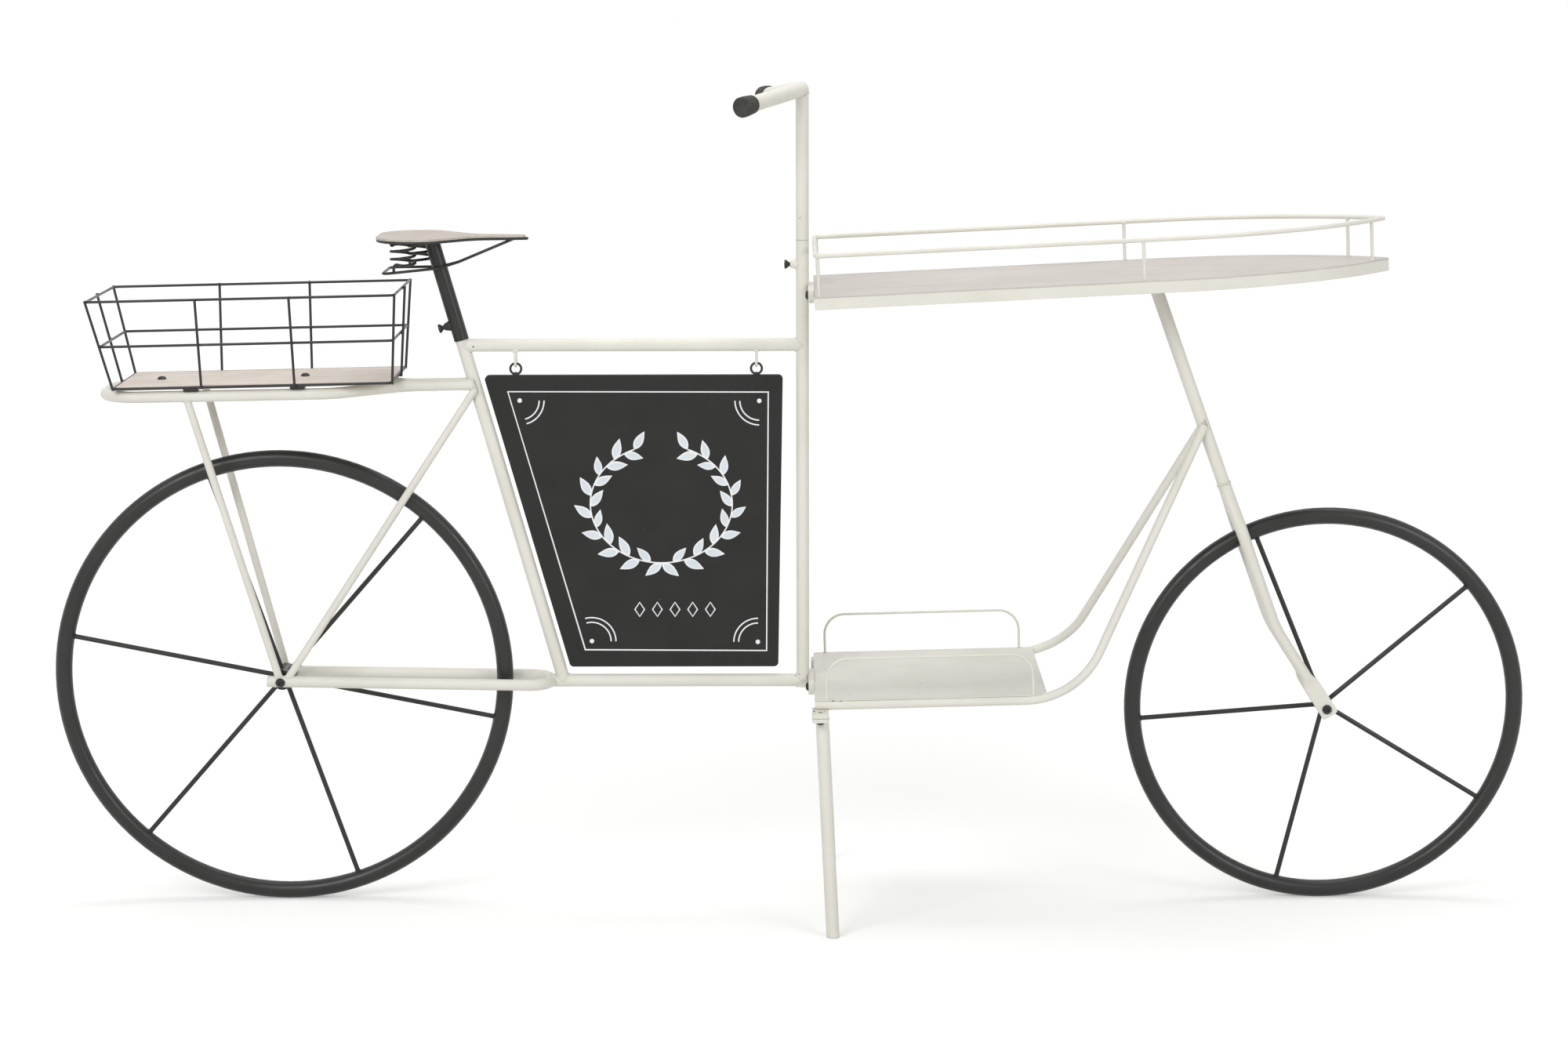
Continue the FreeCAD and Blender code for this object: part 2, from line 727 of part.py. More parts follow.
ring_drop = cell("ring_radius") + cell("ring_wire_radius") - cell("ring_sink")
ring_height = cell("sign_top_height") + ring_drop
swing_height = ring_height + cell("ring_radius")
hook_bottom = (swing_height - cell("ring_wire_radius") - cell("hook_clearance")
               - cell("hook_wire_radius"))
sign_core = slab("sign_ring_seat", Vector(-600, -cell("sign_depth") / 2, 0),
                 Vector(0, cell("sign_depth") / 2, cell("sign_top_height")))
rings = []
hooks = []
for number, back in enumerate((cell("ring_left_back"), cell("ring_right_back")), 1):
    ring = doc.addObject("Part::Torus", "sign_ring%d" % number)
    ring.setExpression("Radius1", "sizes.ring_radius")
    ring.setExpression("Radius2", "sizes.ring_wire_radius")
    ring.Placement = Placement(Vector(-back, 0, ring_height), across)
    rings.append(ring)
    reach = cell("hook_half_width")
    bend = reach * 0.998
    hook_frame = Placement(Vector(-back, 0, 0), Rotation(Vector(1, 1, 1), 120))
    hook_path = path_sketch("sign_hook%d" % number, hook_frame,
                            [(-reach, top_height), (-reach, hook_bottom),
                             (reach, hook_bottom), (reach, top_height)], [bend] * 2)
    hooks.append(sweep("sign_hook%d" % number, hook_path, "sizes.hook_wire_radius"))
keep("sign_rings", cut("sign_rings", group("sign_ring_set", rings), sign_core))
keep("sign_hooks", cut("sign_hooks", group("sign_hook_set", hooks), cores["top_tube"]))

# Handlebar: a spigot slides in the post, the stem and the bar turn on it

seam = Vector(post_x, 0, cell("post_top_height") + cell("stem_seam_gap"))
bar_middle = Vector(post_x, 0, cell("bar_height"))
spigot_radius = "sizes.main_tube_radius - sizes.main_tube_wall - sizes.spigot_clearance"
keep("stem_spigot", tube("stem_spigot", seam - Vector(0, 0, cell("spigot_depth")),
                         seam + Vector(0, 0, cell("spigot_reach")), spigot_radius,
                         "sizes.spigot_wall"))

droop = math.degrees(math.atan2(cell("bar_droop"), cell("bar_sweep")))
bar_frame = Placement(bar_middle, Rotation(Vector(0, 0, 1), cell("bar_turn")).multiply(
    Rotation(Vector(0, 1, 0), -droop)))
sweep_back = -math.hypot(cell("bar_sweep"), cell("bar_droop"))
bar_path = path_sketch("handlebar", bar_frame,
                       [(sweep_back, -cell("bar_half_width")), (0, 0),
                        (sweep_back, cell("bar_half_width"))], [cell("bar_bend")])
keep("handlebar", bent_tube("handlebar", bar_path, "sizes.bar_radius", "sizes.bar_wall",
                            seam=bar_frame.Rotation.multVec(Vector(0, 0, 1))))
keep("stem_tube", tube("stem_tube", seam, bar_middle, main_radius, main_wall,
                       cores["handlebar"]))

for side, label in ((-1, "right"), (1, "left")):
    bar_end = Vector(sweep_back, side * cell("bar_half_width"), 0)
    outward = bar_frame.Rotation.multVec(bar_end).normalize()
    inner = cell("bar_radius")
    outer = cell("cap_radius")
    end = cell("cap_end_thickness")
    depth = cell("cap_length") - end
    taper = depth * cell("cap_taper_share")
    edge = cell("cap_edge")
    name = "bar_cap_" + label
    keep(name, turned(name, facing(bar_frame.multVec(bar_end), outward), [
        (0, 0), (inner, 0), (inner, -depth), (cell("cap_mouth_radius"), -depth),
        (outer, -taper), (outer, end - edge), (outer - edge, end), (0, end)]))


# Thumb screws and the conical bosses that they thread into

def boss_profile(sunk):
    bore = cell("screw_radius") + cell("screw_clearance")
    return [(bore, -sunk), (cell("boss_base_radius"), -sunk), (cell("boss_base_radius"), 0),
            (cell("boss_tip_radius"), cell("boss_length")), (bore, cell("boss_length"))]


def screw_profile(tip):
    seat = cell("boss_length") + cell("knob_gap")
    rim = seat + cell("knob_neck_length")
    return [(0, tip), (cell("screw_radius"), tip), (cell("screw_radius"), seat),
            (cell("knob_neck_radius"), seat), (cell("knob_neck_radius"), seat + cell("knob_collar")),
            (cell("knob_radius"), rim), (cell("knob_radius"), rim + cell("knob_rim")),
            (0, rim + cell("knob_rim") + cell("knob_crown"))]


rearward = Vector(-1, 0, 0)
stem_screw_seat = Vector(post_x - cell("main_tube_radius"), 0, cell("stem_screw_height"))
stem_screw_frame = facing(stem_screw_seat, rearward)
keep("stem_clamp_boss", cut("stem_clamp_boss", turned(
    "stem_clamp_boss_blank", stem_screw_frame, boss_profile(cell("main_tube_radius") / 2)),
    cores["front_post"]))
stem_tip = -cell("main_tube_wall") - cell("spigot_clearance") + cell("screw_tip_gap")
keep("stem_thumb_screw", turned("stem_thumb_screw", stem_screw_frame, screw_profile(stem_tip)))

# Seat: a sleeve on the seat tube, a wooden board on a wire frame, a lower wire loop, two springs

sleeve_foot = seat_foot + seat_up * cell("sleeve_rise")
sleeve_top = seat_axis_at(cell("saddle_height") + cell("sleeve_radius"))
under_board = slab("saddle_space", Vector(-700, -200, cell("saddle_height")),
                   Vector(-200, 200, cell("saddle_height") + 60))
seat_screw_seat = (sleeve_foot + seat_up * cell("seat_screw_rise")
                   - seat_front * cell("sleeve_radius"))
seat_screw_frame = facing(seat_screw_seat, seat_front * -1)
seat_screw_hole = rod("seat_screw_hole", seat_screw_seat - seat_front * 20,
                      seat_screw_seat + seat_front * cell("sleeve_radius"),
                      "sizes.screw_radius + sizes.screw_clearance")
cores["seat_sleeve"] = rod("seat_sleeve_core", sleeve_foot, sleeve_top, "sizes.sleeve_radius")
sleeve_bore = rod("seat_sleeve_bore", sleeve_foot - seat_up, sleeve_top + seat_up,
                  "sizes.main_tube_radius + sizes.sleeve_clearance")
keep("seat_sleeve", cut("seat_sleeve", cores["seat_sleeve"], sleeve_bore, under_board,
                        seat_screw_hole))
keep("seat_clamp_boss", cut("seat_clamp_boss", turned(
    "seat_clamp_boss_blank", seat_screw_frame, boss_profile(cell("sleeve_radius") / 2)),
    cores["seat_sleeve"]))
seat_tip = (cell("main_tube_radius") - cell("sleeve_radius")) + cell("screw_tip_gap")
keep("seat_thumb_screw", turned("seat_thumb_screw", seat_screw_frame, screw_profile(seat_tip)))


def saddle_outline(inset, nose_reach):
    # half the outline from nose to tail, then its mirror image
    side = [(-cell("saddle_nose_back") + nose_reach, cell("saddle_nose_half_width") - inset),
            (-cell("saddle_waist_back"), cell("saddle_waist_half_width") - inset),
            (-cell("saddle_widest_back"), cell("saddle_half_width") - inset),
            (-cell("saddle_rear_back") + inset, cell("saddle_rear_half_width") - inset)]
    mirror = [(x, -y) for x, y in reversed(side)]
    nose = cell("saddle_nose_half_width") - inset - cell("saddle_nose_flat")
    bends = [nose, cell("saddle_waist_bend"), cell("saddle_side_bend") - inset,
             cell("saddle_rear_bend") - inset]
    return side + mirror, bends + bends[::-1]


board_frame = Placement(Vector(0, 0, cell("saddle_height")), Rotation())
board = plate("saddle_board", board_frame, rounded(*saddle_outline(0, 0)),
              "sizes.saddle_thickness")
round_top(board, "saddle_board_round", "sizes.saddle_edge_round")
keep("saddle_board", board)

wire = cell("saddle_wire_radius")
outline_frame = Placement(Vector(0, 0, cell("saddle_height") - wire), Rotation())
wire_corners, wire_bends = saddle_outline(cell("saddle_inset"), cell("saddle_nose_reach"))
outline_path = path_sketch("saddle_frame", outline_frame, wire_corners, wire_bends, True)
cores["saddle_frame"] = sweep("saddle_frame", outline_path, "sizes.saddle_wire_radius")
keep("saddle_frame", cores["saddle_frame"])

pinch = wire + cell("loop_wire_gap") / 2
loop_top = cell("saddle_height") - wire
beside = seat_axis_at((cell("loop_rear_height") + cell("loop_meet_height")) / 2)
at_sleeve = Vector(beside.x, cell("sleeve_radius") + wire, beside.z - cell("loop_sleeve_drop"))
loop_side = [
    Vector(-cell("loop_nose_back"), pinch, loop_top),
    Vector(-cell("loop_meet_back"), pinch, cell("loop_meet_height")),
    at_sleeve,
    Vector(-cell("loop_rear_back"), cell("loop_rear_half_width"), cell("loop_rear_height"))]
loop_corners = loop_side + [Vector(p.x, -p.y, p.z) for p in reversed(loop_side)]
loop_bends = [cell("loop_meet_bend"), cell("loop_sleeve_bend"), cell("loop_rear_bend")]
loop_curves = bent_curves(loop_corners, loop_bends + loop_bends[::-1], False)
loop_core = sweep("saddle_loop", path_wire("saddle_loop", loop_curves), "sizes.saddle_wire_radius")
keep("saddle_loop", cut("saddle_loop", loop_core, cores["seat_sleeve"], cores["saddle_frame"]))


def biarc(start, start_way, end, end_way):
    # two tangent arcs from one point and direction to another
    span = end - start
    both = start_way + end_way
    lead = 2 * (1 - start_way.dot(end_way))
    pull = span.dot(both)
    if lead < 1e-9:
        reach = span.dot(span) / (2 * pull)
    else:
        reach = (-pull + math.sqrt(pull * pull + lead * span.dot(span))) / lead
    first = start + start_way * reach
    second = end - end_way * reach
    joint = (first + second) * 0.5
    arcs = []
    for begin, knee, finish in ((start, first, joint), (joint, second, end)):
        chord = finish - begin
        weight = chord.dot(knee - begin) / (chord.Length * reach)
        middle = (begin + finish + knee * (2 * weight)) * (1 / (2 + 2 * weight))
        arcs.append(Part.Arc(begin, middle, finish))
    return arcs


def spring_curves(axis, foot_turn, foot_height, head_height):
    # straight foot, helix in half-turn biarcs, straight head
    radius = cell("spring_radius")
    straight = 2 * cell("spring_wire_radius")
    blend = math.radians(cell("spring_end_turn"))
    turns = cell("spring_turns")
    low = foot_height + straight + cell("spring_end_rise")
    high = head_height - straight - cell("spring_end_rise")
    climb = (high - low) / (2 * math.pi * turns)

    def on_coil(angle, height):
        return axis + Vector(radius * math.cos(angle), radius * math.sin(angle), height)

    def coil_way(angle):
        return Vector(-radius * math.sin(angle), radius * math.cos(angle), climb).normalize()

    up = Vector(0, 0, 1)
    start = foot_turn + blend
    finish = start + 2 * math.pi * turns
    foot = on_coil(foot_turn, foot_height)
    rise = foot + up * straight
    curves = [Part.LineSegment(foot, rise)]
    curves += biarc(rise, up, on_coil(start, low), coil_way(start))
    steps = math.ceil(turns * 2)
    for step in range(steps):
        one = start + (finish - start) * step / steps
        two = start + (finish - start) * (step + 1) / steps
        curves += biarc(on_coil(one, low + climb * (one - start)), coil_way(one),
                        on_coil(two, low + climb * (two - start)), coil_way(two))
    head = on_coil(finish + blend, head_height)
    curves += biarc(on_coil(finish, high), coil_way(finish), head - up * straight, up)
    curves.append(Part.LineSegment(head - up * straight, head))
    return curves


def least_gap(curves, skip):
    # the smallest distance between far-apart runs of the wire, less the wire itself
    points = []
    for curve in curves:
        points += curve.toShape().discretize(9)[:-1]
    travel = [0.0]
    for one, two in zip(points, points[1:]):
        travel.append(travel[-1] + (two - one).Length)
    least = min((points[i] - points[j]).Length
                for i in range(len(points)) for j in range(i)
                if travel[i] - travel[j] > skip)
    return least - 2 * cell("spring_wire_radius")


springs = []
for side, label in ((-1, "right"), (1, "left")):
    axis = Vector(-cell("spring_back") + side * cell("spring_stagger"),
                  side * cell("spring_half_spacing"), 0)
    rear_corner = Vector(-cell("loop_rear_back"), side * cell("loop_rear_half_width"),
                         cell("loop_rear_height"))
    front_corner = Vector(at_sleeve.x, side * at_sleeve.y, at_sleeve.z)
    run = front_corner - rear_corner
    gap = rear_corner - axis
    square = run.x ** 2 + run.y ** 2
    mixed = gap.x * run.x + gap.y * run.y
    rest = gap.x ** 2 + gap.y ** 2 - cell("spring_radius") ** 2
    share = (-mixed - math.sqrt(mixed ** 2 - square * rest)) / square
    landing = rear_corner + run * share
    foot_turn = math.atan2(landing.y - axis.y, landing.x - axis.x)
    foot_height = landing.z + wire + cell("spring_foot_gap")
    curves = spring_curves(axis, foot_turn, foot_height, cell("saddle_height"))
    print("spring %s least gap %.2f mm" % (label, least_gap(curves, 8 * cell("spring_wire_radius"))))
    springs.append(sweep("saddle_spring_" + label, path_wire("saddle_spring_" + label, curves),
                         "sizes.spring_wire_radius"))
keep("saddle_springs", group("saddle_springs", springs))

# Basket: three wire rings and ten uprights around a wooden floor, on two straps over the rack

basket_frame = tilted(-cell("basket_middle_back"), 0, cell("basket_height"), cell("basket_tilt"))
basket_wire = cell("basket_wire_radius")
stand_off = 2 * basket_wire + cell("basket_weld_gap")


def basket_size(height):
    # rear reach, front reach and half width of the flared wall at a height
    share = height / cell("basket_depth")
    floor = cell("basket_floor_half_length")
    low = cell("basket_floor_half_width")
    return (floor + (cell("basket_rim_rear") - floor) * share,
            floor + (cell("basket_rim_front") - floor) * share,
            low + (cell("basket_rim_half_width") - low) * share)


def basket_ring(name, height):
    rear, front, side = basket_size(height)
    frame = basket_frame.multiply(Placement(Vector(0, 0, height), Rotation()))
    path = path_sketch(name, frame, [(-rear, -side), (front, -side), (front, side), (-rear, side)],
                       [cell("basket_corner")] * 4, True)
    return keep(name, sweep(name, path, "sizes.basket_wire_radius"))


basket_ring("basket_base_ring", 0)
basket_ring("basket_mid_ring", cell("basket_mid_height"))
basket_ring("basket_rim_ring", cell("basket_depth"))


def upright(number, place):
    low = basket_frame.multVec(place(-basket_wire))
    high = basket_frame.multVec(place(cell("basket_depth") + basket_wire))
    return rod("basket_upright%d" % number, low, high, "sizes.basket_wire_radius")


def corner_place(rearward_side, side):
    def place(height):
        rear, front, wide_here = basket_size(height)
        diagonal = math.sqrt(0.5) * (cell("basket_corner") + stand_off)
        inner_x = (rear if rearward_side else front) - cell("basket_corner") + diagonal
        inner_y = wide_here - cell("basket_corner") + diagonal
        return Vector(-inner_x if rearward_side else inner_x, side * inner_y, height)
    return place


def side_place(x, side):
    return lambda height: Vector(x, side * (basket_size(height)[2] + stand_off), height)


def end_place(rearward_side):
    def place(height):
        rear, front, wide_here = basket_size(height)
        return Vector(-rear - stand_off if rearward_side else front + stand_off,
                      0, height)
    return place


places = [corner_place(rear, side) for rear in (True, False) for side in (-1, 1)]
places += [side_place(x, side) for side in (-1, 1)
           for x in (-cell("basket_upright_rear"), cell("basket_upright_front"))]
places += [end_place(True), end_place(False)]
keep("basket_uprights", group("basket_uprights", [
    upright(number, place) for number, place in enumerate(places, 1)]))

floor_x = cell("basket_floor_half_length") - basket_wire - cell("floor_edge_gap")
floor_y = cell("basket_floor_half_width") - basket_wire - cell("floor_edge_gap")
floor_low = basket_wire - cell("floor_thickness")
rear_strap = -cell("strap_rear_offset")
front_strap = cell("strap_front_offset")
basket_bolt_xs = [rear_strap - cell("basket_bolt_setback"), front_strap]
floor_frame = basket_frame.multiply(Placement(Vector(0, 0, floor_low), Rotation()))
keep("basket_floor", plate(
    "basket_floor", floor_frame,
    rounded([(-floor_x, -floor_y), (floor_x, -floor_y), (floor_x, floor_y), (-floor_x, floor_y)],
            [cell("basket_corner") - basket_wire] * 4),
    "sizes.floor_thickness", [(x, 0) for x in basket_bolt_xs], bolt_hole))

strap_low = floor_low - cell("strap_thickness")
strap_frame = basket_frame.multiply(Placement(Vector(0, 0, strap_low), Rotation()))
half_strap = cell("strap_width") / 2
strap_end = cell("rack_half_width") + cell("loop_tube_radius")
tab_end = rear_strap - cell("strap_tab_reach")
rear_strap_outline = polygon([
    (rear_strap + half_strap, -strap_end), (rear_strap + half_strap, strap_end),
    (rear_strap - half_strap, strap_end), (rear_strap - half_strap, half_strap),
    (tab_end, half_strap), (tab_end, -half_strap), (rear_strap - half_strap, -half_strap),
    (rear_strap - half_strap, -strap_end)])
front_strap_outline = polygon([
    (front_strap + half_strap, -strap_end), (front_strap + half_strap, strap_end),
    (front_strap - half_strap, strap_end), (front_strap - half_strap, -strap_end)])
keep("basket_straps", group("basket_straps", [
    plate("basket_strap_rear", strap_frame, rear_strap_outline, "sizes.strap_thickness",
          [(basket_bolt_xs[0], 0)], bolt_hole),
    plate("basket_strap_front", strap_frame, front_strap_outline, "sizes.strap_thickness",
          [(basket_bolt_xs[1], 0)], bolt_hole)]))
grip = cell("floor_thickness") + cell("strap_thickness")
basket_bolts = [small_bolt("basket_bolt%d" % n, basket_frame.multiply(
    Placement(Vector(x, 0, basket_wire), Rotation())), grip)
    for n, x in enumerate(basket_bolt_xs, 1)]
basket_nuts = [small_nut("basket_nut%d" % n, basket_frame.multiply(
    Placement(Vector(x, 0, strap_low - cell("nut_height")), Rotation())))
    for n, x in enumerate(basket_bolt_xs, 1)]

# Flanges: two obround plates on the post, bolted to two like plates on the front unit

flange_back = post_x + cell("main_tube_radius") - cell("flange_weld_depth")
flange_face = flange_back + cell("flange_thickness")
upright_ahead = Rotation(Vector(0, 1, 0), Vector(0, 0, 1), Vector(1, 0, 0), "ZXY")
spread = cell("flange_bolt_spread")


def flange(name, x, height):
    frame = Placement(Vector(x, 0, height), upright_ahead)
    return plate(name, frame, obround(cell("flange_half_width"), cell("flange_height") / 2),
                 "sizes.flange_thickness", [(-spread, 0), (spread, 0)], bolt_hole)


upper_z = cell("upper_flange_height")
lower_z = cell("lower_flange_height")
keep("post_flanges", cut("post_flanges", group("post_flange_set", [
    flange("upper_flange", flange_back, upper_z),
    flange("lower_flange", flange_back, lower_z)]), cores["front_post"]))
keep("front_flanges", group("front_flanges", [
    flange("shelf_flange", flange_face, upper_z), flange("tray_flange", flange_face, lower_z)]))
front_start = flange_face + cell("flange_thickness")

# Shelf: a boat-shaped sheet on a flat-bar skirt, with a wire rail on six posts

shelf_frame = tilted(front_start, 0, cell("shelf_height"), cell("shelf_tilt"))
shelf_slope = math.tan(math.radians(cell("shelf_tilt")))


def shelf_outline(inset, stern, corner=0):
    # straight sides, two bow arcs, a round nose and a stern with square or round corners
    side = cell("shelf_half_width") - inset
    straight = cell("shelf_straight")
    bow = cell("shelf_bow_radius") - inset
    nose = cell("shelf_nose_radius") - inset
    off = cell("shelf_bow_radius") - cell("shelf_half_width")
    nose_x = straight + math.sqrt((bow - nose) ** 2 - off ** 2)
    centre = Vector(straight, -off, 0)
    way = (Vector(nose_x, 0, 0) - centre).normalize()
    meet = centre + way * bow
    bow_way = (way + Vector(0, 1, 0)).normalize()
    middle = centre + bow_way * bow

    def mirrored(point):
        return Vector(point.x, -point.y, 0)

    curves = [Part.LineSegment(Vector(stern + corner, side, 0), Vector(straight, side, 0)),
              Part.Arc(Vector(straight, side, 0), middle, meet),
              Part.Arc(meet, Vector(nose_x + nose, 0, 0), mirrored(meet)),
              Part.Arc(mirrored(meet), mirrored(middle), Vector(straight, -side, 0)),
              Part.LineSegment(Vector(straight, -side, 0), Vector(stern + corner, -side, 0))]
    if corner > 0:
        one = arc_at(Vector(straight, -side, 0), Vector(stern, -side, 0), Vector(stern, side, 0),
                     corner)
        two = arc_at(Vector(stern, -side, 0), Vector(stern, side, 0), Vector(straight, side, 0),
                     corner)
        curves += [Part.Arc(*one), Part.LineSegment(one[2], two[0]), Part.Arc(*two)]
    else:
        curves.append(Part.LineSegment(Vector(stern, -side, 0), Vector(stern, side, 0)))
    return curves, centre, bow


outer_curves = shelf_outline(0, 0)[0]
inner_curves = shelf_outline(cell("shelf_bar"), cell("shelf_bar"))[0]
sheet_frame = shelf_frame.multiply(Placement(Vector(0, 0, -cell("shelf_sheet")), Rotation()))
keep("shelf_top", plate("shelf_top", sheet_frame, outer_curves, "sizes.shelf_sheet"))
skirt_frame = shelf_frame.multiply(Placement(Vector(0, 0, -cell("shelf_skirt")), Rotation()))
skirt = plate("shelf_skirt_blank", skirt_frame, outer_curves + inner_curves,
              "sizes.shelf_skirt - sizes.shelf_sheet")
bolt_holes = [rod("shelf_bolt_hole%d" % n, Vector(flange_face, y, upper_z),
                  Vector(front_start + 3 * cell("shelf_bar"), y, upper_z), bolt_hole)
              for n, y in enumerate((-spread, spread), 1)]
keep("shelf_skirt", cut("shelf_skirt", skirt, *bolt_holes))

rail_curves, rail_centre, rail_bow = shelf_outline(
    cell("rail_inset"), cell("rail_stern_inset"), cell("rail_corner"))
rail_sketch = doc.addObject("Sketcher::SketchObject", "shelf_rail_path")
rail_sketch.addGeometry(rail_curves, False)
rail_sketch.Placement = shelf_frame.multiply(Placement(Vector(0, 0, cell("rail_height")),
                                                       Rotation()))
doc.recompute()
cores["shelf_rail"] = sweep("shelf_rail", rail_sketch, "sizes.rail_wire_radius")
keep("shelf_rail", cores["shelf_rail"])

straight_y = cell("shelf_half_width") - cell("rail_inset")
corner_cut = cell("rail_corner") * (1 - math.sqrt(0.5))
rail_posts = []
for side, front_x in ((-1, cell("rail_post_front_right")), (1, cell("rail_post_front_left"))):
    front_y = rail_centre.y + math.sqrt(rail_bow ** 2 - (front_x - rail_centre.x) ** 2)
    for x, y in ((cell("rail_stern_inset") + corner_cut, straight_y - corner_cut),
                 (cell("rail_post_middle"), straight_y), (front_x, front_y)):
        foot = shelf_frame.multVec(Vector(x, side * y, 0))
        head = shelf_frame.multVec(Vector(x, side * y, cell("rail_height")))
        rail_posts.append(rod("shelf_post%d" % (len(rail_posts) + 1), foot, head,
                              "sizes.rail_post_radius"))
keep("shelf_rail_posts", cut("shelf_rail_posts", group("shelf_post_set", rail_posts),
                             cores["shelf_rail"]))

# Tray: a sheet on two tubes that rise and meet at the column, with a wire hoop on each side

tray_frame = tilted(front_start, 0, cell("tray_height"), cell("tray_tilt"))
tray_half = cell("tray_half_width")
tray_long = cell("tray_length")
tray_low = tray_frame.multiply(Placement(Vector(0, 0, -cell("tray_sheet")), Rotation()))
tray_blank = plate("tray_sheet_blank", tray_low, rounded(
    [(0, -tray_half), (tray_long, -tray_half), (tray_long, tray_half), (0, tray_half)],
    [cell("tray_corner")] * 4), "sizes.tray_sheet")

column_foot = Vector(cell("column_foot_ahead"), 0, cell("column_foot_height"))
rake = math.radians(cell("column_rake"))
column_up = Vector(-math.sin(rake), 0, math.cos(rake))


def column_at(height):
    return column_foot + column_up * ((height - column_foot.z) / column_up.z)


tray_slope = math.tan(math.radians(cell("tray_tilt")))
column_top = column_at(cell("shelf_height") + shelf_slope * cell("column_foot_ahead"))
above_sheet = slab("column_top_space", Vector(-200, -300, 0), Vector(900, 300, 90))
above_sheet.Placement = shelf_frame.multiply(
    Placement(Vector(-200, -300, -cell("shelf_sheet")), Rotation()))
keep("steering_column", tube("steering_column", column_foot, column_top, main_radius, main_wall,
                             above_sheet))

tube_drop = cell("tray_sheet") + cell("tray_tube_gap") + cell("tray_tube_radius")
hoops = []
for side, label in ((-1, "right"), (1, "left")):
    y = side * cell("tray_tube_half_spacing")
    start = tray_frame.multVec(Vector(0, y, -tube_drop))
    bend_x = cell("tray_bend_ahead") - start.x
    corner = start + Vector(bend_x, 0, bend_x * tray_slope)
    target = column_at(cell("tray_tube_top_height"))
    end = target + Vector(0, side * (cell("tray_tube_radius") + cell("tray_tube_gap")), 0)
    name = "tray_tube_" + label
    spine = path_wire(name, bent_curves([start, corner, end], [cell("tray_bend")], False))
    keep(name, bent_tube(name, spine, "sizes.tray_tube_radius", "sizes.tray_tube_wall",
                         cores["steering_column"]))
    name = "tray_hoop_" + label
    hoop_frame = tray_frame.multiply(
        Placement(Vector(0, side * cell("hoop_half_spacing"), 0), across))
    rear_foot = cell("hoop_rear")
    front_foot = cell("hoop_front")
    top = cell("hoop_height")
    hoop = path_sketch(name, hoop_frame, [(rear_foot, 0), (rear_foot, top), (front_foot, top),
                                          (front_foot, 0)], [cell("hoop_corner")] * 2)
    hoops.append(sweep(name, hoop, "sizes.hoop_wire_radius"))
keep("tray_hoops", group("tray_hoops", hoops))
keep("tray_sheet", cut("tray_sheet", tray_blank, cores["tray_tube_right"],
                       cores["tray_tube_left"]))

# Fork: two blades joined under the column, spread around the wheel, flattened at the axle

fork_down = column_up * -1
crown_low = column_foot + fork_down * cell("fork_crown_length")
spread_low = column_foot + fork_down * cell("fork_spread_length")
knee = column_at(cell("fork_knee_height"))
to_hub = (Vector(front_axle.x, 0, front_axle.z) - Vector(knee.x, 0, knee.z)).normalize()
tip_side = Vector(to_hub.z, 0, -to_hub.x)
front_axle_hole = rod("front_axle_hole", front_axle - Vector(0, 60, 0),
                      front_axle + Vector(0, 60, 0), axle_hole)
for side, label in ((-1, "right"), (1, "left")):
    name = "fork_blade_" + label
    crown_y = Vector(0, side * cell("fork_crown_spread"), 0)
    blade_y = Vector(0, side * cell("fork_half_spacing"), 0)
    flat_start = front_axle + blade_y - to_hub * cell("fork_flat_start")
    flat_full = front_axle + blade_y - to_hub * cell("fork_flat_full")
    flat_tip = front_axle + blade_y + to_hub * cell("fork_tip_reach")
    corners = [column_foot + crown_y, crown_low + crown_y, spread_low + blade_y, knee + blade_y,
               flat_start]
    spine = path_wire(name, bent_curves(corners, [cell("fork_crown_bend")] * 2
                                        + [cell("fork_knee_bend")], False))
    blade = bent_tube(name, spine, main_radius, main_wall)
    round_end = doc.addObject("Part::Circle", name + "_round")
    round_end.setExpression("Radius", main_radius)
    round_end.Placement = facing(flat_start, to_hub, tip_side)
    flat_end = doc.addObject("Part::Feature", name + "_flat")
    flat_end.Shape = Part.Wire([c.toShape() for c in obround(
        cell("fork_tip_width") / 2, cell("fork_tip_thickness") / 2)])
    flat_end.Placement = facing(flat_full, to_hub, tip_side)
    pressed = doc.addObject("Part::Loft", name + "_pressed")
    pressed.Sections = [round_end, flat_end]
    pressed.Solid = True
    pressed.Ruled = True
    tip_length = (flat_tip - flat_full).Length
    wide_tip = cell("fork_tip_width") / 2
    deep = cell("fork_tip_thickness") / 2
    round_tip = cell("fork_tip_corner")
    root = cell("fork_tip_root")
    tip_plane = Placement(flat_full - Vector(0, deep, 0),
                          Rotation(to_hub, Vector(), Vector(0, 1, 0), "ZXY"))
    tip = plate(name + "_tip", tip_plane, rounded(
        [(0, -wide_tip), (tip_length, -wide_tip), (tip_length, wide_tip), (0, wide_tip)],
        [root, round_tip, round_tip, root]), "sizes.fork_tip_thickness")
    whole = doc.addObject("Part::MultiFuse", name + "_whole")
    whole.Shapes = [blade, pressed, tip]
    other_half = slab(name + "_other_half", Vector(400, 0 if side < 0 else -100, 200),
                      Vector(800, 100 if side < 0 else 0, 700))
    keep(name, cut(name, whole, other_half, front_axle_hole))

# Legs: pads under the tray tubes, plates on the leg tops, one bolt each, feet cut level

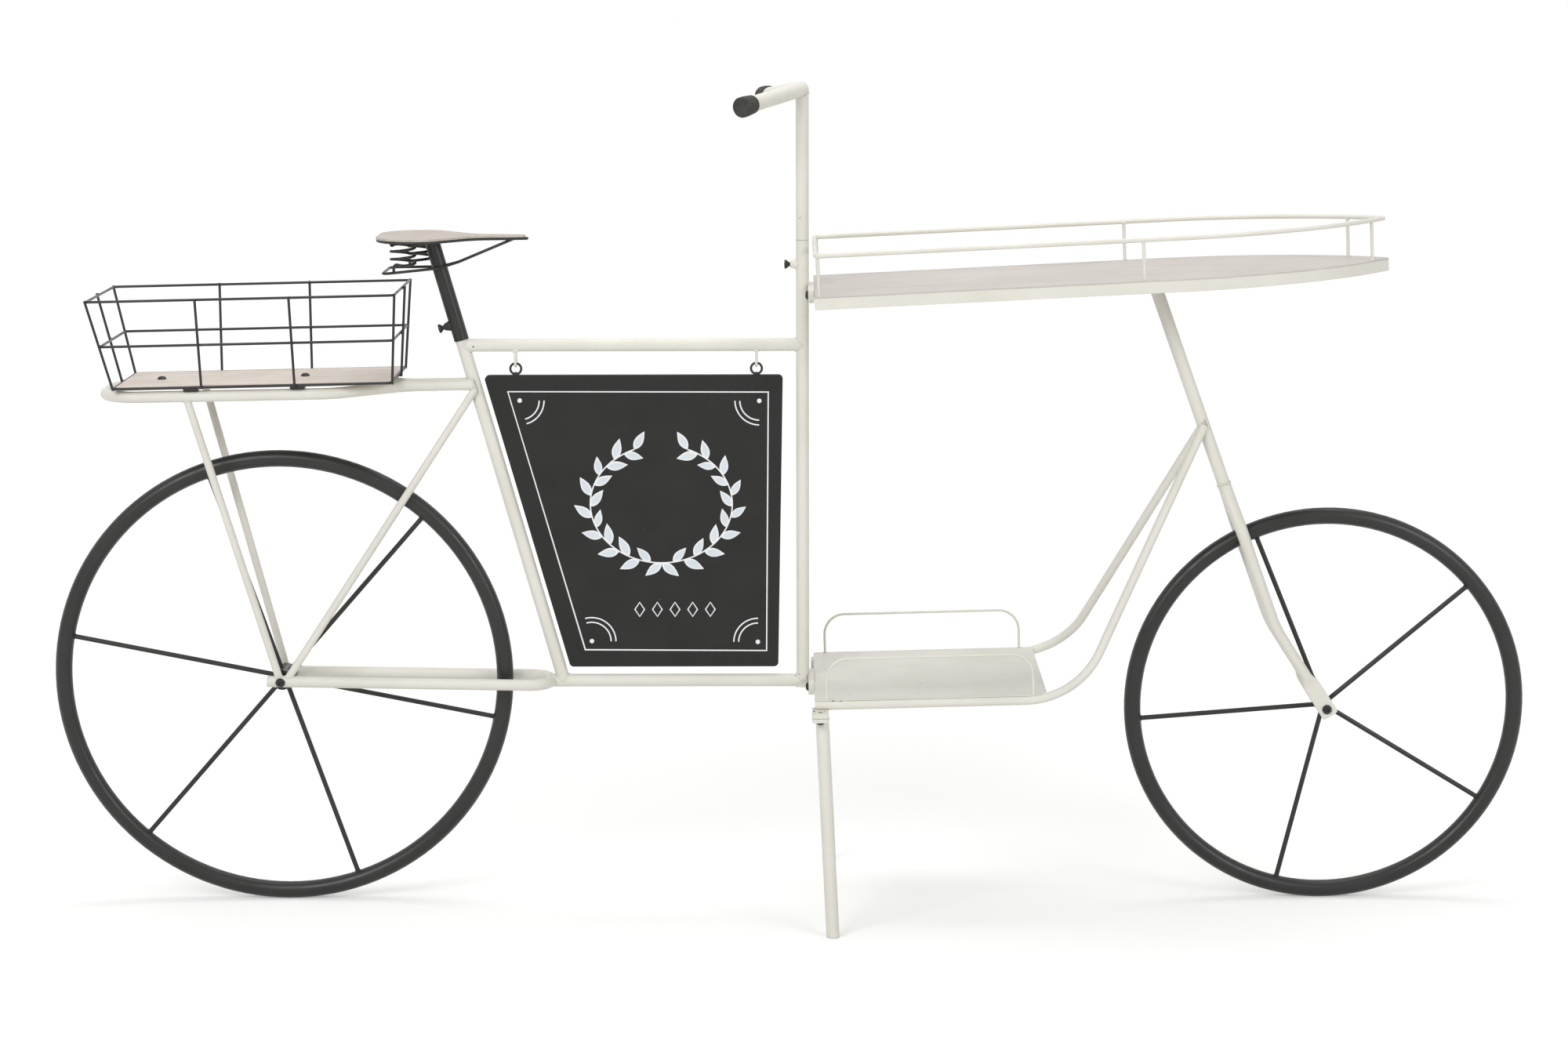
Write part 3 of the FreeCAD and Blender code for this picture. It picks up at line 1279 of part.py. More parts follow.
ground = slab("ground", Vector(-200, -400, -60), Vector(300, 400, 0))
thick = cell("leg_plate_thickness")
tube_under = tray_frame.multVec(Vector(cell("leg_plate_ahead") - front_start, 0, -tube_drop))
pad_low = (tube_under.z - cell("tray_tube_radius") + cell("leg_pad_sink")
           - cell("leg_pad_drop"))
plate_low = pad_low - cell("leg_plate_gap") - thick
half_x = cell("leg_plate_width") / 2
half_y = cell("leg_plate_length") / 2
leg_outline = rounded([(-half_x, -half_y), (half_x, -half_y), (half_x, half_y), (-half_x, half_y)],
                      [cell("leg_plate_corner")] * 4)
leg_pads = []
leg_plates = []
leg_bolts = []
for side, label in ((-1, "right"), (1, "left")):
    centre = Vector(cell("leg_plate_ahead"), side * cell("leg_plate_out"), 0)
    bolt_y = side * (cell("leg_bolt_out") - cell("leg_plate_out"))
    pad_frame = Placement(centre + Vector(0, 0, pad_low), Rotation())
    name = "leg_pad_" + label
    pad = plate(name + "_blank", pad_frame, leg_outline, "sizes.leg_pad_drop",
                [(0, bolt_y)], bolt_hole)
    leg_pads.append(cut(name, pad, cores["tray_tube_" + label]))
    plate_frame = Placement(centre + Vector(0, 0, plate_low), Rotation())
    leg_plates.append(plate("leg_plate_" + label, plate_frame, leg_outline,
                            "sizes.leg_plate_thickness", [(0, bolt_y)], bolt_hole))
    top = Vector(cell("leg_top_ahead"), side * cell("leg_top_out"), plate_low)
    foot = Vector(cell("leg_foot_ahead"), side * cell("leg_foot_out"), 0)
    along = (foot - top).normalize()
    name = "leg_" + label
    over = slab(name + "_over", Vector(-100, -400, plate_low), Vector(200, 400, plate_low + 60))
    keep(name, tube(name, top - along * 5, foot + along * 5, main_radius, main_wall, over, ground))
    bolt_x = cell("leg_plate_ahead")
    # the pad is thick enough to hold the thread, so there is no nut
    bolt_length = (thick + cell("leg_plate_gap") + cell("leg_pad_drop")
                   - cell("leg_bolt_tip_gap"))
    leg_bolts.append(socket_bolt("leg_bolt_" + label, facing(
        Vector(bolt_x, centre.y + bolt_y, plate_low), Vector(0, 0, -1)),
        cell("bolt_head_radius"), cell("bolt_head_height"), cell("bolt_radius"), bolt_length))
keep("leg_pads", group("leg_pads", leg_pads))
keep("leg_plates", group("leg_plates", leg_plates))

# Flange bolts and nuts, and the nodes that hold all the small bolts and nuts

flange_bolts = []
flange_nuts = []
plates = 2 * cell("flange_thickness")
behind_skirt = (math.hypot(1, shelf_slope) * cell("shelf_bar") + cell("shelf_joint_gap")
                + (cell("shelf_height") - upper_z + cell("nut_radius")) * shelf_slope)
for height, grip in ((upper_z, plates + behind_skirt), (lower_z, plates)):
    for y in (-spread, spread):
        count = len(flange_bolts) + 1
        flange_bolts.append(small_bolt("flange_bolt%d" % count, facing(
            Vector(flange_back, y, height), Vector(-1, 0, 0)), grip))
        flange_nuts.append(small_nut("flange_nut%d" % count, facing(
            Vector(flange_back + grip, y, height), Vector(1, 0, 0))))
keep("small_bolts", group("small_bolts", flange_bolts + leg_bolts + basket_bolts))
keep("small_nuts", group("small_nuts", flange_nuts + basket_nuts))

doc.recompute()

# Check every object, then write one file per sub-part

for item in doc.Objects:
    if "Invalid" in item.State or "Error" in item.State:
        raise RuntimeError("object %s is in error: %s" % (item.Name, item.State))
for label, piece in nodes.items():
    if piece.Shape.isNull() or not piece.Shape.isValid() or not piece.Shape.Solids:
        raise RuntimeError("sub-part %s has no valid solid" % label)
os.makedirs("parts", exist_ok=True)
for label, piece in nodes.items():
    piece.Shape.exportStep("parts/%s.step" % label)
print("%d sub-parts written" % len(nodes))
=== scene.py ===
import json
import math

import bmesh
import bpy
from mathutils import Matrix, Vector


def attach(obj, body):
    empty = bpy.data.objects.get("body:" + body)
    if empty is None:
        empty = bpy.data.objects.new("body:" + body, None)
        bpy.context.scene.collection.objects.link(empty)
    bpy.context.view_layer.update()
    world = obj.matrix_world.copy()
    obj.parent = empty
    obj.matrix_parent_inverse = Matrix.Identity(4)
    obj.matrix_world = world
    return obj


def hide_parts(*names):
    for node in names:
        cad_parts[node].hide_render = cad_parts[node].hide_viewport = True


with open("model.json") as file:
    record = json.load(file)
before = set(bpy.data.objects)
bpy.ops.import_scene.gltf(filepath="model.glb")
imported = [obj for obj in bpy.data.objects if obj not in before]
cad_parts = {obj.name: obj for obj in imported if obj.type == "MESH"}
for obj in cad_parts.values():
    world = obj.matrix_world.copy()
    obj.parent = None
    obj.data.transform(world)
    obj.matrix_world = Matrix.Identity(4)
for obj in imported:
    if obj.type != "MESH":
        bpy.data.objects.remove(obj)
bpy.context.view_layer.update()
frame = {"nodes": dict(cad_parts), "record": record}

mm = 0.001
sides = {"Right": -1, "Left": 1}
scene = bpy.context.scene


def newObject(name, data):
    thing = bpy.data.objects.new(name, data)
    scene.collection.objects.link(thing)
    return thing


# Camera, fitted to both wheels and the ground line in the photograph

cameraSetup = {
    "place": (0.0064, -4.174, 1.220), "pitchDown": 10.04, "yaw": -0.17, "roll": 0.13,
    "focalPixels": 4355.0, "imageWidth": 2000.0, "sensorWidth": 36.0, "seesTo": 200.0,
}


def makeCamera(setup):
    pitch, yaw, roll = (math.radians(setup[name]) for name in ("pitchDown", "yaw", "roll"))
    ahead = Vector((math.sin(yaw) * math.cos(pitch), math.cos(yaw) * math.cos(pitch),
                    -math.sin(pitch)))
    right = Vector((math.cos(yaw), -math.sin(yaw), 0))
    down = ahead.cross(right)
    turnedRight = right * math.cos(roll) + down * math.sin(roll)
    turnedDown = down * math.cos(roll) - right * math.sin(roll)
    data = bpy.data.cameras.new("standCamera")
    data.sensor_width = setup["sensorWidth"]
    data.lens = setup["sensorWidth"] * setup["focalPixels"] / setup["imageWidth"]
    data.clip_end = setup["seesTo"]
    camera = newObject("standCamera", data)
    axes = Matrix((turnedRight, -turnedDown, -ahead)).transposed().to_4x4()
    camera.matrix_world = Matrix.Translation(setup["place"]) @ axes
    scene.camera = camera


makeCamera(cameraSetup)
print("camera placed")


# Nodes and materials

def hexToLinear(text):
    channels = [int(text[i:i + 2], 16) / 255 for i in (1, 3, 5)]
    return [c / 12.92 if c <= 0.04045 else ((c + 0.055) / 1.055) ** 2.4 for c in channels] + [1.0]


def addNode(tree, kind, inputs=(), **settings):
    # inputs are a list in the node's own order or a dictionary; each is a value, a hex colour,
    # another node's output, or a node, which stands for its first output
    node = tree.nodes.new(kind)
    for name, value in settings.items():
        setattr(node, name, value)
    for name, value in inputs.items() if isinstance(inputs, dict) else enumerate(inputs):
        if isinstance(value, bpy.types.Node):
            value = value.outputs[0]
        if isinstance(value, bpy.types.NodeSocket):
            tree.links.new(value, node.inputs[name])
        elif isinstance(value, str) and value.startswith("#"):
            node.inputs[name].default_value = hexToLinear(value)
        else:
            node.inputs[name].default_value = value
    return node


def clearedTree(block):
    block.use_nodes = True
    block.node_tree.nodes.clear()
    return block.node_tree


def startMaterial(look):
    material = bpy.data.materials.new(look["name"])
    tree = clearedTree(material)
    return material, tree, addNode(tree, "ShaderNodeTexCoord").outputs["Object"]


def finishMaterial(material, tree, look, colour, relief, cloud=None):
    # the sheen drifts with the cloud, where there is one
    bump = addNode(tree, "ShaderNodeBump", {
        "Strength": look["relief"], "Distance": look["reliefMm"] * mm, **relief})
    sheen = look["roughness"]
    if cloud is not None:
        below, above = look["sheenSpread"]
        sheen = addNode(tree, "ShaderNodeMapRange", [
            cloud, *look["sheenFades"], sheen - below, sheen + above])
    shader = addNode(tree, "ShaderNodeBsdfPrincipled", {
        "Base Color": colour, "Roughness": sheen, "Normal": bump,
        "Specular IOR Level": look["specular"], "Metallic": look.get("metallic", 0.0)})
    addNode(tree, "ShaderNodeOutputMaterial", {"Surface": shader})
    return material


def layered(tree, base, layers):
    # colours laid over one another, each with the share in which it covers those under it
    for share, over in layers:
        base = addNode(tree, "ShaderNodeMix", {0: share, 6: base, 7: over},
                       data_type="RGBA").outputs[2]
    return base


def patches(tree, place, noise, fades, cover=1.0):
    # a cloudy noise and its share of cover, which fades in between two levels of the noise
    cloud = addNode(tree, "ShaderNodeTexNoise", {"Vector": place, **noise})
    return cloud, addNode(tree, "ShaderNodeMapRange", [cloud, *fades, 0.0, cover])


# Powder coat on steel: an even satin skin with a faint orange peel, slow drifts of tone,
# a few pin specks, painted shade darkening the corners and creases, and thin paint rubbed off along
# sharp edges.
# The real peel is about 1 mm; it is drawn at 4 mm, or it would not show at this distance.

creamCoat = {
    "name": "creamPowderCoatedSteel",
    # the third colour is painted shade, laid into the corners and creases
    "colour": "#E6E4DA", "drift": "#E0DDD2", "paintedCreaseShade": "#A59F91", "rubbed": "#C4C0B5",
    "roughness": 0.40, "specular": 0.45, "sheenFades": (0.3, 0.7), "sheenSpread": (0.05, 0.08),
    "driftMm": 70.0, "driftFades": (0.35, 0.68), "peelMm": 4.0, "relief": 1.0, "reliefMm": 0.02,
    "speckSpacingMm": 55.0, "speckShare": 0.028, "speckCore": 0.6, "speckCover": 0.8,
    "speckColour": "#7A7466", "creaseMm": 4.0, "creaseShare": 0.4, "creaseFades": (0.35, 0.85),
    "edgeMm": 0.9, "edgeShare": 0.4, "edgeFades": (0.80, 0.95), "rubMm": 14.0,
    "rubFades": (0.52, 0.66),
}
blackCoat = {
    **creamCoat, "name": "blackPowderCoatedSteel",
    # the third colour is painted shade, laid into the corners and creases
    "colour": "#242423", "drift": "#2A2A29", "paintedCreaseShade": "#1A1A19", "rubbed": "#6A6763",
    "roughness": 0.31, "specular": 0.38, "driftMm": 55.0, "reliefMm": 0.025,
    "speckSpacingMm": 40.0, "speckShare": 0.022, "speckColour": "#6B6A67",
    "creaseMm": 5.0, "edgeShare": 0.5,
}
# the sign's coat is the same black without the satin, as on a chalk board
boardCoat = {**blackCoat, "name": "blackboardCoatedSteel", "colour": "#252524",
             "roughness": 0.5, "specular": 0.22}


def makePowderCoat(look):
    material, tree, place = startMaterial(look)
    driftShare = patches(tree, place, {"Scale": 1000 / look["driftMm"], "Detail": 3.0},
                         look["driftFades"])[1]
    speck = addNode(tree, "ShaderNodeTexVoronoi", {
        "Vector": place, "Scale": 1000 / look["speckSpacingMm"]})
    speckShare = addNode(tree, "ShaderNodeMapRange", [
        speck, look["speckShare"] * look["speckCore"], look["speckShare"], look["speckCover"], 0.0])
    # painted shade: corners and creases darken in the crease colour where the ambient occlusion is
    # deep
    crease = addNode(tree, "ShaderNodeAmbientOcclusion", {"Distance": look["creaseMm"] * mm},
                     samples=6)
    creaseShare = addNode(tree, "ShaderNodeMapRange", [
        crease.outputs["AO"], *look["creaseFades"], look["creaseShare"], 0.0])
    # where the rounded normal leaves the true one there is an edge
    rounded = addNode(tree, "ShaderNodeBevel", {"Radius": look["edgeMm"] * mm}, samples=4)
    geometry = addNode(tree, "ShaderNodeNewGeometry")
    alike = addNode(tree, "ShaderNodeVectorMath", [rounded, geometry.outputs["Normal"]],
                    operation="DOT_PRODUCT")
    edge = addNode(tree, "ShaderNodeMapRange", [
        alike.outputs["Value"], *look["edgeFades"], 1.0, 0.0])
    rub, rubShare = patches(tree, place, {"Scale": 1000 / look["rubMm"], "Detail": 4.0},
                            look["rubFades"], look["edgeShare"])
    worn = addNode(tree, "ShaderNodeMath", [edge, rubShare], operation="MULTIPLY")
    # the crease layer is painted shade in the corners and creases
    colour = layered(tree, look["colour"], (
        (driftShare, look["drift"]), (speckShare, look["speckColour"]),
        (creaseShare, look["paintedCreaseShade"]), (worn, look["rubbed"])))
    peel = addNode(tree, "ShaderNodeTexNoise", {
        "Vector": place, "Scale": 1000 / look["peelMm"], "Detail": 1.0})
    return finishMaterial(material, tree, look, colour, {"Height": peel, "Normal": rounded}, rub)


# Limed plywood: pale pigment rubbed into the grain, so streaks stay lighter than the beige wood
# between them, with a few darker pores and cloudy patches where the wash is thicker.
# Grain lines are really under 1 mm apart; they are drawn 3 mm apart or more to show.

saddleWood = {
    "name": "limedBirchPlySaddle",
    "wood": "#B5ABA0", "lime": "#C4BCB2", "pore": "#A79D90", "wash": "#CBC4BB",
    "grainMm": 3.0, "grainLengthMm": 70.0, "patchMm": 42.0, "roughness": 0.62, "specular": 0.3,
    "grainFades": (0.36, 0.64), "patchFades": (0.45, 0.75), "patchCover": 0.65,
    "poreFades": (0.62, 0.74), "poreCover": 0.7, "poreScale": (3.0, 0.8),
    "poreShift": (3.1, 1.7, 0.4), "relief": 0.6, "reliefMm": 0.15,
}
floorWood = {
    **saddleWood, "name": "limedBirchPlyFloor",
    "wood": "#C8BAAD", "lime": "#DED6CD", "pore": "#B2A28F", "wash": "#E1D9D1",
    "grainMm": 3.5, "grainLengthMm": 120.0, "patchMm": 60.0, "roughness": 0.6,
}
shelfWash = {
    **saddleWood, "name": "whitewashedShelfSheet",
    "wood": "#BFB8B1", "lime": "#CBC6BF", "pore": "#B5ADA4", "wash": "#CECAC3",
    "grainMm": 5.0, "grainLengthMm": 260.0, "patchMm": 90.0, "roughness": 0.5,
}


def makeLimedWood(look):
    material, tree, place = startMaterial(look)
    along = 1000 / look["grainLengthMm"]
    across = 1000 / look["grainMm"]
    stretched = addNode(tree, "ShaderNodeMapping", {
        "Vector": place, "Scale": (along, across, across)})
    grain, grainShare = patches(tree, stretched, {"Scale": 1.0, "Detail": 4.0, "Distortion": 0.4},
                                look["grainFades"])
    patchShare = patches(tree, place, {"Scale": 1000 / look["patchMm"], "Detail": 3.0},
                         look["patchFades"], look["patchCover"])[1]
    poreAlong, poreAcross = along * look["poreScale"][0], across * look["poreScale"][1]
    pores = addNode(tree, "ShaderNodeMapping", {
        "Vector": place, "Location": look["poreShift"],
        "Scale": (poreAlong, poreAcross, poreAcross)})
    poreShare = patches(tree, pores, {"Scale": 1.0, "Detail": 2.0}, look["poreFades"],
                        look["poreCover"])[1]
    colour = layered(tree, look["wood"], (
        (grainShare, look["lime"]), (patchShare, look["wash"]), (poreShare, look["pore"])))
    return finishMaterial(material, tree, look, colour, {"Height": grain})


# Small finishes: rubber is dull with bloom, ABS is smoother, zinc plate is bright, print is even
# and the dark pit dots are blotched. Their grain is drawn at 1 to 2.5 mm so that it shows.

capRubber = {
    "name": "mouldedBlackRubber", "colour": "#343433", "bloom": "#464543",
    "roughness": 0.7, "specular": 0.3, "patchMm": 9.0, "grainMm": 1.6, "reliefMm": 0.08,
    "patchFades": (0.38, 0.68), "sheenFades": (0.3, 0.7), "sheenSpread": (0.06, 0.08),
    "relief": 0.8,
}
knobPlastic = {
    **capRubber, "name": "mouldedBlackAbs", "colour": "#262626", "bloom": "#333332",
    "roughness": 0.42, "specular": 0.4, "patchMm": 6.0, "grainMm": 1.5, "reliefMm": 0.05,
}
platedSteel = {
    **capRubber, "name": "zincPlatedSteel", "colour": "#B9B9B4", "bloom": "#9D9D99",
    "roughness": 0.32, "specular": 0.5, "metallic": 1.0, "patchMm": 12.0, "grainMm": 2.0,
    "reliefMm": 0.03,
}
# a plain dark colour for the dots at the weld's pinholes
pitDots = {
    **capRubber, "name": "sootInWeldPits", "colour": "#3B3731", "bloom": "#57524B",
    "roughness": 0.8, "specular": 0.2, "patchMm": 2.0, "grainMm": 1.0, "reliefMm": 0.05,
}
signEnamel = {
    **capRubber, "name": "printedWhiteEnamel", "colour": "#F4F5F5", "bloom": "#EDEFF0",
    "roughness": 0.5, "specular": 0.35, "patchMm": 25.0, "grainMm": 2.5, "reliefMm": 0.03,
}
leafEnamel = {**signEnamel, "name": "printedPaleBlueEnamel", "colour": "#DCE4EA",
              "bloom": "#D6DFE6"}


def makeSmallFinish(look):
    material, tree, place = startMaterial(look)
    patch, share = patches(tree, place, {"Scale": 1000 / look["patchMm"], "Detail": 4.0},
                           look["patchFades"])
    colour = layered(tree, look["colour"], [(share, look["bloom"])])
    grain = addNode(tree, "ShaderNodeTexNoise", {
        "Vector": place, "Scale": 1000 / look["grainMm"], "Detail": 2.0})
    return finishMaterial(material, tree, look, colour, {"Height": grain}, patch)


cream = makePowderCoat(creamCoat)
black = makePowderCoat(blackCoat)
finishes = {
    "cream_paint": cream,
    "black_paint": black,
    "limed_wood": makeLimedWood(saddleWood),
    "black_rubber": makeSmallFinish(capRubber),
    "black_plastic": makeSmallFinish(knobPlastic),
    "bare_steel": makeSmallFinish(platedSteel),
}
enamel = makeSmallFinish(signEnamel)
enamelFill = makeSmallFinish(leafEnamel)
ownFinish = {"basket_floor": makeLimedWood(floorWood), "shelf_top": makeLimedWood(shelfWash),
             "sign_panel": makePowderCoat(boardCoat)}

for row in frame["record"]["subparts"]:
    node = frame["nodes"][row["node"]]
    finish = ownFinish.get(row["node"], finishes[row["material_slot"]])
    if not node.data.materials:
        node.data.materials.append(finish)
    for index in range(len(node.data.materials)):
        node.data.materials[index] = finish


# Geometry Nodes: each tree gets its sizes through named inputs and ends in one material

def startTree(name, sizes, material):
    tree = bpy.data.node_groups.new(name, "GeometryNodeTree")
    for way in ("INPUT", "OUTPUT"):
        tree.interface.new_socket("Geometry", in_out=way, socket_type="NodeSocketGeometry")
    for label, (kind, value) in sizes.items():
        socket = tree.interface.new_socket(label, in_out="INPUT", socket_type="NodeSocket" + kind)
        if value is not None:
            socket.default_value = value
    given = addNode(tree, "NodeGroupInput")
    made = addNode(tree, "GeometryNodeRealizeInstances")
    coated = addNode(tree, "GeometryNodeSetMaterial", {"Geometry": made, "Material": material})
    addNode(tree, "NodeGroupOutput", [coated])
    return tree, given.outputs, made.inputs[0]


def placePiece(name, mesh, body, slotName=None, *replaced):
    # slotName is not used; prints on the sign pass none
    mesh.name = name
    piece = newObject(name, mesh)
    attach(piece, body)
    if replaced:
        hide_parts(*replaced)
    print(name, "on", body, "with", len(mesh.polygons), "faces")


def growPiece(name, paths, tree, body, slotName=None, inputs=None):
    # runs the tree on the paths and keeps the result as one plain mesh on one body
    carrier = newObject(name + "Source", pathMesh(name + "Paths", paths))
    modifier = carrier.modifiers.new("grow", "NODES")
    modifier.node_group = tree
    for item in tree.interface.items_tree:
        if item.in_out == "INPUT" and item.name in (inputs or {}):
            modifier[item.identifier] = inputs[item.name]
    graph = bpy.context.evaluated_depsgraph_get()
    mesh = bpy.data.meshes.new_from_object(carrier.evaluated_get(graph))
    carrier.modifiers.clear()
    bpy.data.objects.remove(carrier)
    placePiece(name, mesh, body, slotName)


def pathMesh(name, paths):
    # paths are (points, closed, size) in millimetres
    points = []
    edges = []
    sizes = []
    for path, closed, size in paths:
        first = len(points)
        points += [Vector(p) * mm for p in path]
        edges += [(first + i, first + i + 1) for i in range(len(path) - 1)]
        if closed:
            edges.append((len(points) - 1, first))
        sizes += [size * mm] * len(path)
    mesh = bpy.data.meshes.new(name)
    mesh.from_pydata(points, edges, [])
    mesh.attributes.new("beadSize", "FLOAT", "POINT").data.foreach_set("value", sizes)
    return mesh


def spot(place, size):
    # a path of one point
    return [place], False, size


weldBead = {"step": 0.6, "ripplePitch": 2.4, "rippleShare": 0.16, "unevenness": 0.35,
            "lumpMm": 9.0, "around": 8}


def makeBeadTree(name, material):
    # a weld bead: a round run along each path whose thickness ripples with the weld pool
    tree, given, result = startTree(name, {
        "Step": ("Float", weldBead["step"] * mm),
        "Ripple Pitch": ("Float", weldBead["ripplePitch"] * mm),
        "Ripple Share": ("Float", weldBead["rippleShare"]),
        "Unevenness": ("Float", weldBead["unevenness"])}, material)
    curve = addNode(tree, "GeometryNodeMeshToCurve", {"Mesh": given["Geometry"]})
    fine = addNode(tree, "GeometryNodeResampleCurve", {"Curve": curve, "Length": given["Step"]},
                   mode="LENGTH")
    length = addNode(tree, "GeometryNodeSplineParameter").outputs["Length"]
    turns = addNode(tree, "ShaderNodeMath", [length, given["Ripple Pitch"]], operation="DIVIDE")
    angle = addNode(tree, "ShaderNodeMath", [turns, 2 * math.pi], operation="MULTIPLY")
    wave = addNode(tree, "ShaderNodeMath", [angle], operation="SINE")
    ripple = addNode(tree, "ShaderNodeMath", [wave, given["Ripple Share"], 1.0],
                     operation="MULTIPLY_ADD")
    noise = addNode(tree, "ShaderNodeTexNoise", {
        "Scale": 1000 / weldBead["lumpMm"], "Detail": 1.0})
    centred = addNode(tree, "ShaderNodeMath", [noise, 0.5], operation="SUBTRACT")
    uneven = addNode(tree, "ShaderNodeMath", [centred, given["Unevenness"], ripple],
                     operation="MULTIPLY_ADD")
    size = addNode(tree, "GeometryNodeInputNamedAttribute", {"Name": "beadSize"},
                   data_type="FLOAT")
    scale = addNode(tree, "ShaderNodeMath", [size, uneven], operation="MULTIPLY")
    ring = addNode(tree, "GeometryNodeCurvePrimitiveCircle", {
        "Resolution": weldBead["around"], "Radius": 1.0})
    bead = addNode(tree, "GeometryNodeCurveToMesh", {
        "Curve": fine, "Profile Curve": ring, "Scale": scale, "Fill Caps": True})
    smooth = addNode(tree, "GeometryNodeSetShadeSmooth", {"Geometry": bead})
    tree.links.new(smooth.outputs[0], result)
    return tree


def makeSpotTree(name, material):
    # spot welds and dots: a small uneven ball on every point
    tree, given, result = startTree(name, {
        "Flatness": ("Vector", (1.0, 1.0, 1.0)), "Spread": ("Float", 0.15),
        "Seed": ("Int", 7)}, material)
    ball = addNode(tree, "GeometryNodeMeshIcoSphere", {"Radius": 1.0, "Subdivisions": 2})
    size = addNode(tree, "GeometryNodeInputNamedAttribute", {"Name": "beadSize"},
                   data_type="FLOAT")
    least = addNode(tree, "ShaderNodeMath", [1.0, given["Spread"]], operation="SUBTRACT")
    most = addNode(tree, "ShaderNodeMath", [1.0, given["Spread"]], operation="ADD")
    chance = addNode(tree, "FunctionNodeRandomValue", {
        2: least, 3: most, "Seed": given["Seed"]}, data_type="FLOAT")
    scale = addNode(tree, "ShaderNodeMath", [size, chance.outputs[1]], operation="MULTIPLY")
    shape = addNode(tree, "ShaderNodeVectorMath", {0: given["Flatness"], "Scale": scale},
                    operation="SCALE")
    placed = addNode(tree, "GeometryNodeInstanceOnPoints", {
        "Points": given["Geometry"], "Instance": ball, "Scale": shape})
    real = addNode(tree, "GeometryNodeRealizeInstances", [placed])
    smooth = addNode(tree, "GeometryNodeSetShadeSmooth", {"Geometry": real})
    tree.links.new(smooth.outputs[0], result)
    return tree


# Where the tubes run, in millimetres and degrees, as in the CAD source

plan = {
    "main": 8.0, "loop": 7.0, "rod": 4.75, "trayTube": 5.5, "bar": 9.5,  # radii
    "seatLean": 15.67, "seatFoot": (-281.7, 0, 281.0), "seatLength": 540.0,
    "columnRake": 19.87, "columnFoot": (538.8, 0, 528.9), "columnTop": 800.0,
    "rearAxle": (-631.5, 0, 286.6), "frontAxle": (668.7, 0, 249.4),
    "chainNose": (-298.2, 0, 281.0), "chainHalf": 30.5, "bowHalf": 30.0,
    "postX": 17.2, "postEnds": (273.0, 832.0), "bottomHeight": 281.0, "topHeight": 703.3,
    "stemFoot": 840.0, "barHeight": 1016.0, "barHalf": 60.0,
    "rackHeight": 655.5, "rackRise": 1.0, "rackHalf": 66.0, "rackEnds": (-166.0, -401.0),
    "rackArmEnds": (-82.0, 0), "armHalf": 7.3, "stayAhead": 6.0, "stayTop": 650.4, "stayHalf": 8.5,
    "strutX": -732.0, "shelfCorner": (31.2, 0, 775.2), "shelfRise": 2.75, "shelfUnder": -1.3,
    "trayCorner": (31.2, 0, 286.3), "trayRise": 1.41, "trayDrop": -7.1, "trayBendX": 350.2,
    "trayHalf": 136.0, "trayTop": 602.0, "trayTopHalf": 5.6,
    "basketMiddle": (-649.5, 0, 662.9), "basketRise": 1.2,
    "legFoot": (53.0, 175.0, 0.0), "legTop": (40.0, 138.0, 263.57),
}


def leaning(degrees):
    return Vector((-math.sin(math.radians(degrees)), 0, math.cos(math.radians(degrees))))


seatFoot = Vector(plan["seatFoot"])
seatUp = leaning(plan["seatLean"])
columnFoot = Vector(plan["columnFoot"])
columnUp = leaning(plan["columnRake"])


def seatAt(height):
    return seatFoot + seatUp * ((height - seatFoot.z) / seatUp.z)


def columnAt(height):
    return columnFoot + columnUp * ((height - columnFoot.z) / columnUp.z)


def postAt(height):
    return Vector((plan["postX"], 0, height))


def offset(y):
    return Vector((0, y, 0))


def tiltedFrame(origin, rise):
    return Matrix.Translation(origin) @ Matrix.Rotation(-math.radians(rise), 4, "Y")


rearAxle = Vector(plan["rearAxle"])
frontAxle = Vector(plan["frontAxle"])
chainNose = Vector(plan["chainNose"])
chainRun = (chainNose - rearAxle).normalized()
rackFrame = tiltedFrame(seatAt(plan["rackHeight"]), plan["rackRise"])
shelfFrame = tiltedFrame(plan["shelfCorner"], plan["shelfRise"])
trayFrame = tiltedFrame(plan["trayCorner"], plan["trayRise"])
basketFrame = tiltedFrame(plan["basketMiddle"], plan["basketRise"])

# each run is start, end, radius
tubeRuns = {
    "post": (*(postAt(height) for height in plan["postEnds"]), plan["main"]),
    "bottom": (chainNose, postAt(plan["bottomHeight"]), plan["main"]),
    "seat": (seatFoot, seatFoot + seatUp * plan["seatLength"], plan["main"]),
    "top": (seatAt(plan["topHeight"]), postAt(plan["topHeight"]), plan["main"]),
    "chainBow": (chainNose + offset(-plan["bowHalf"]), chainNose + offset(plan["bowHalf"]),
                 plan["loop"]),
    "column": (columnFoot, columnAt(plan["columnTop"]), plan["main"]),
    "stem": (postAt(plan["stemFoot"]), postAt(plan["barHeight"]), plan["main"]),
    "bar": (postAt(plan["barHeight"]) + offset(-plan["barHalf"]),
            postAt(plan["barHeight"]) + offset(plan["barHalf"]), plan["bar"]),
}
trayStart = trayFrame @ Vector((0, 0, plan["trayDrop"]))
trayBend = plan["trayBendX"] - trayStart.x
trayClimb = trayBend * math.tan(math.radians(plan["trayRise"]))
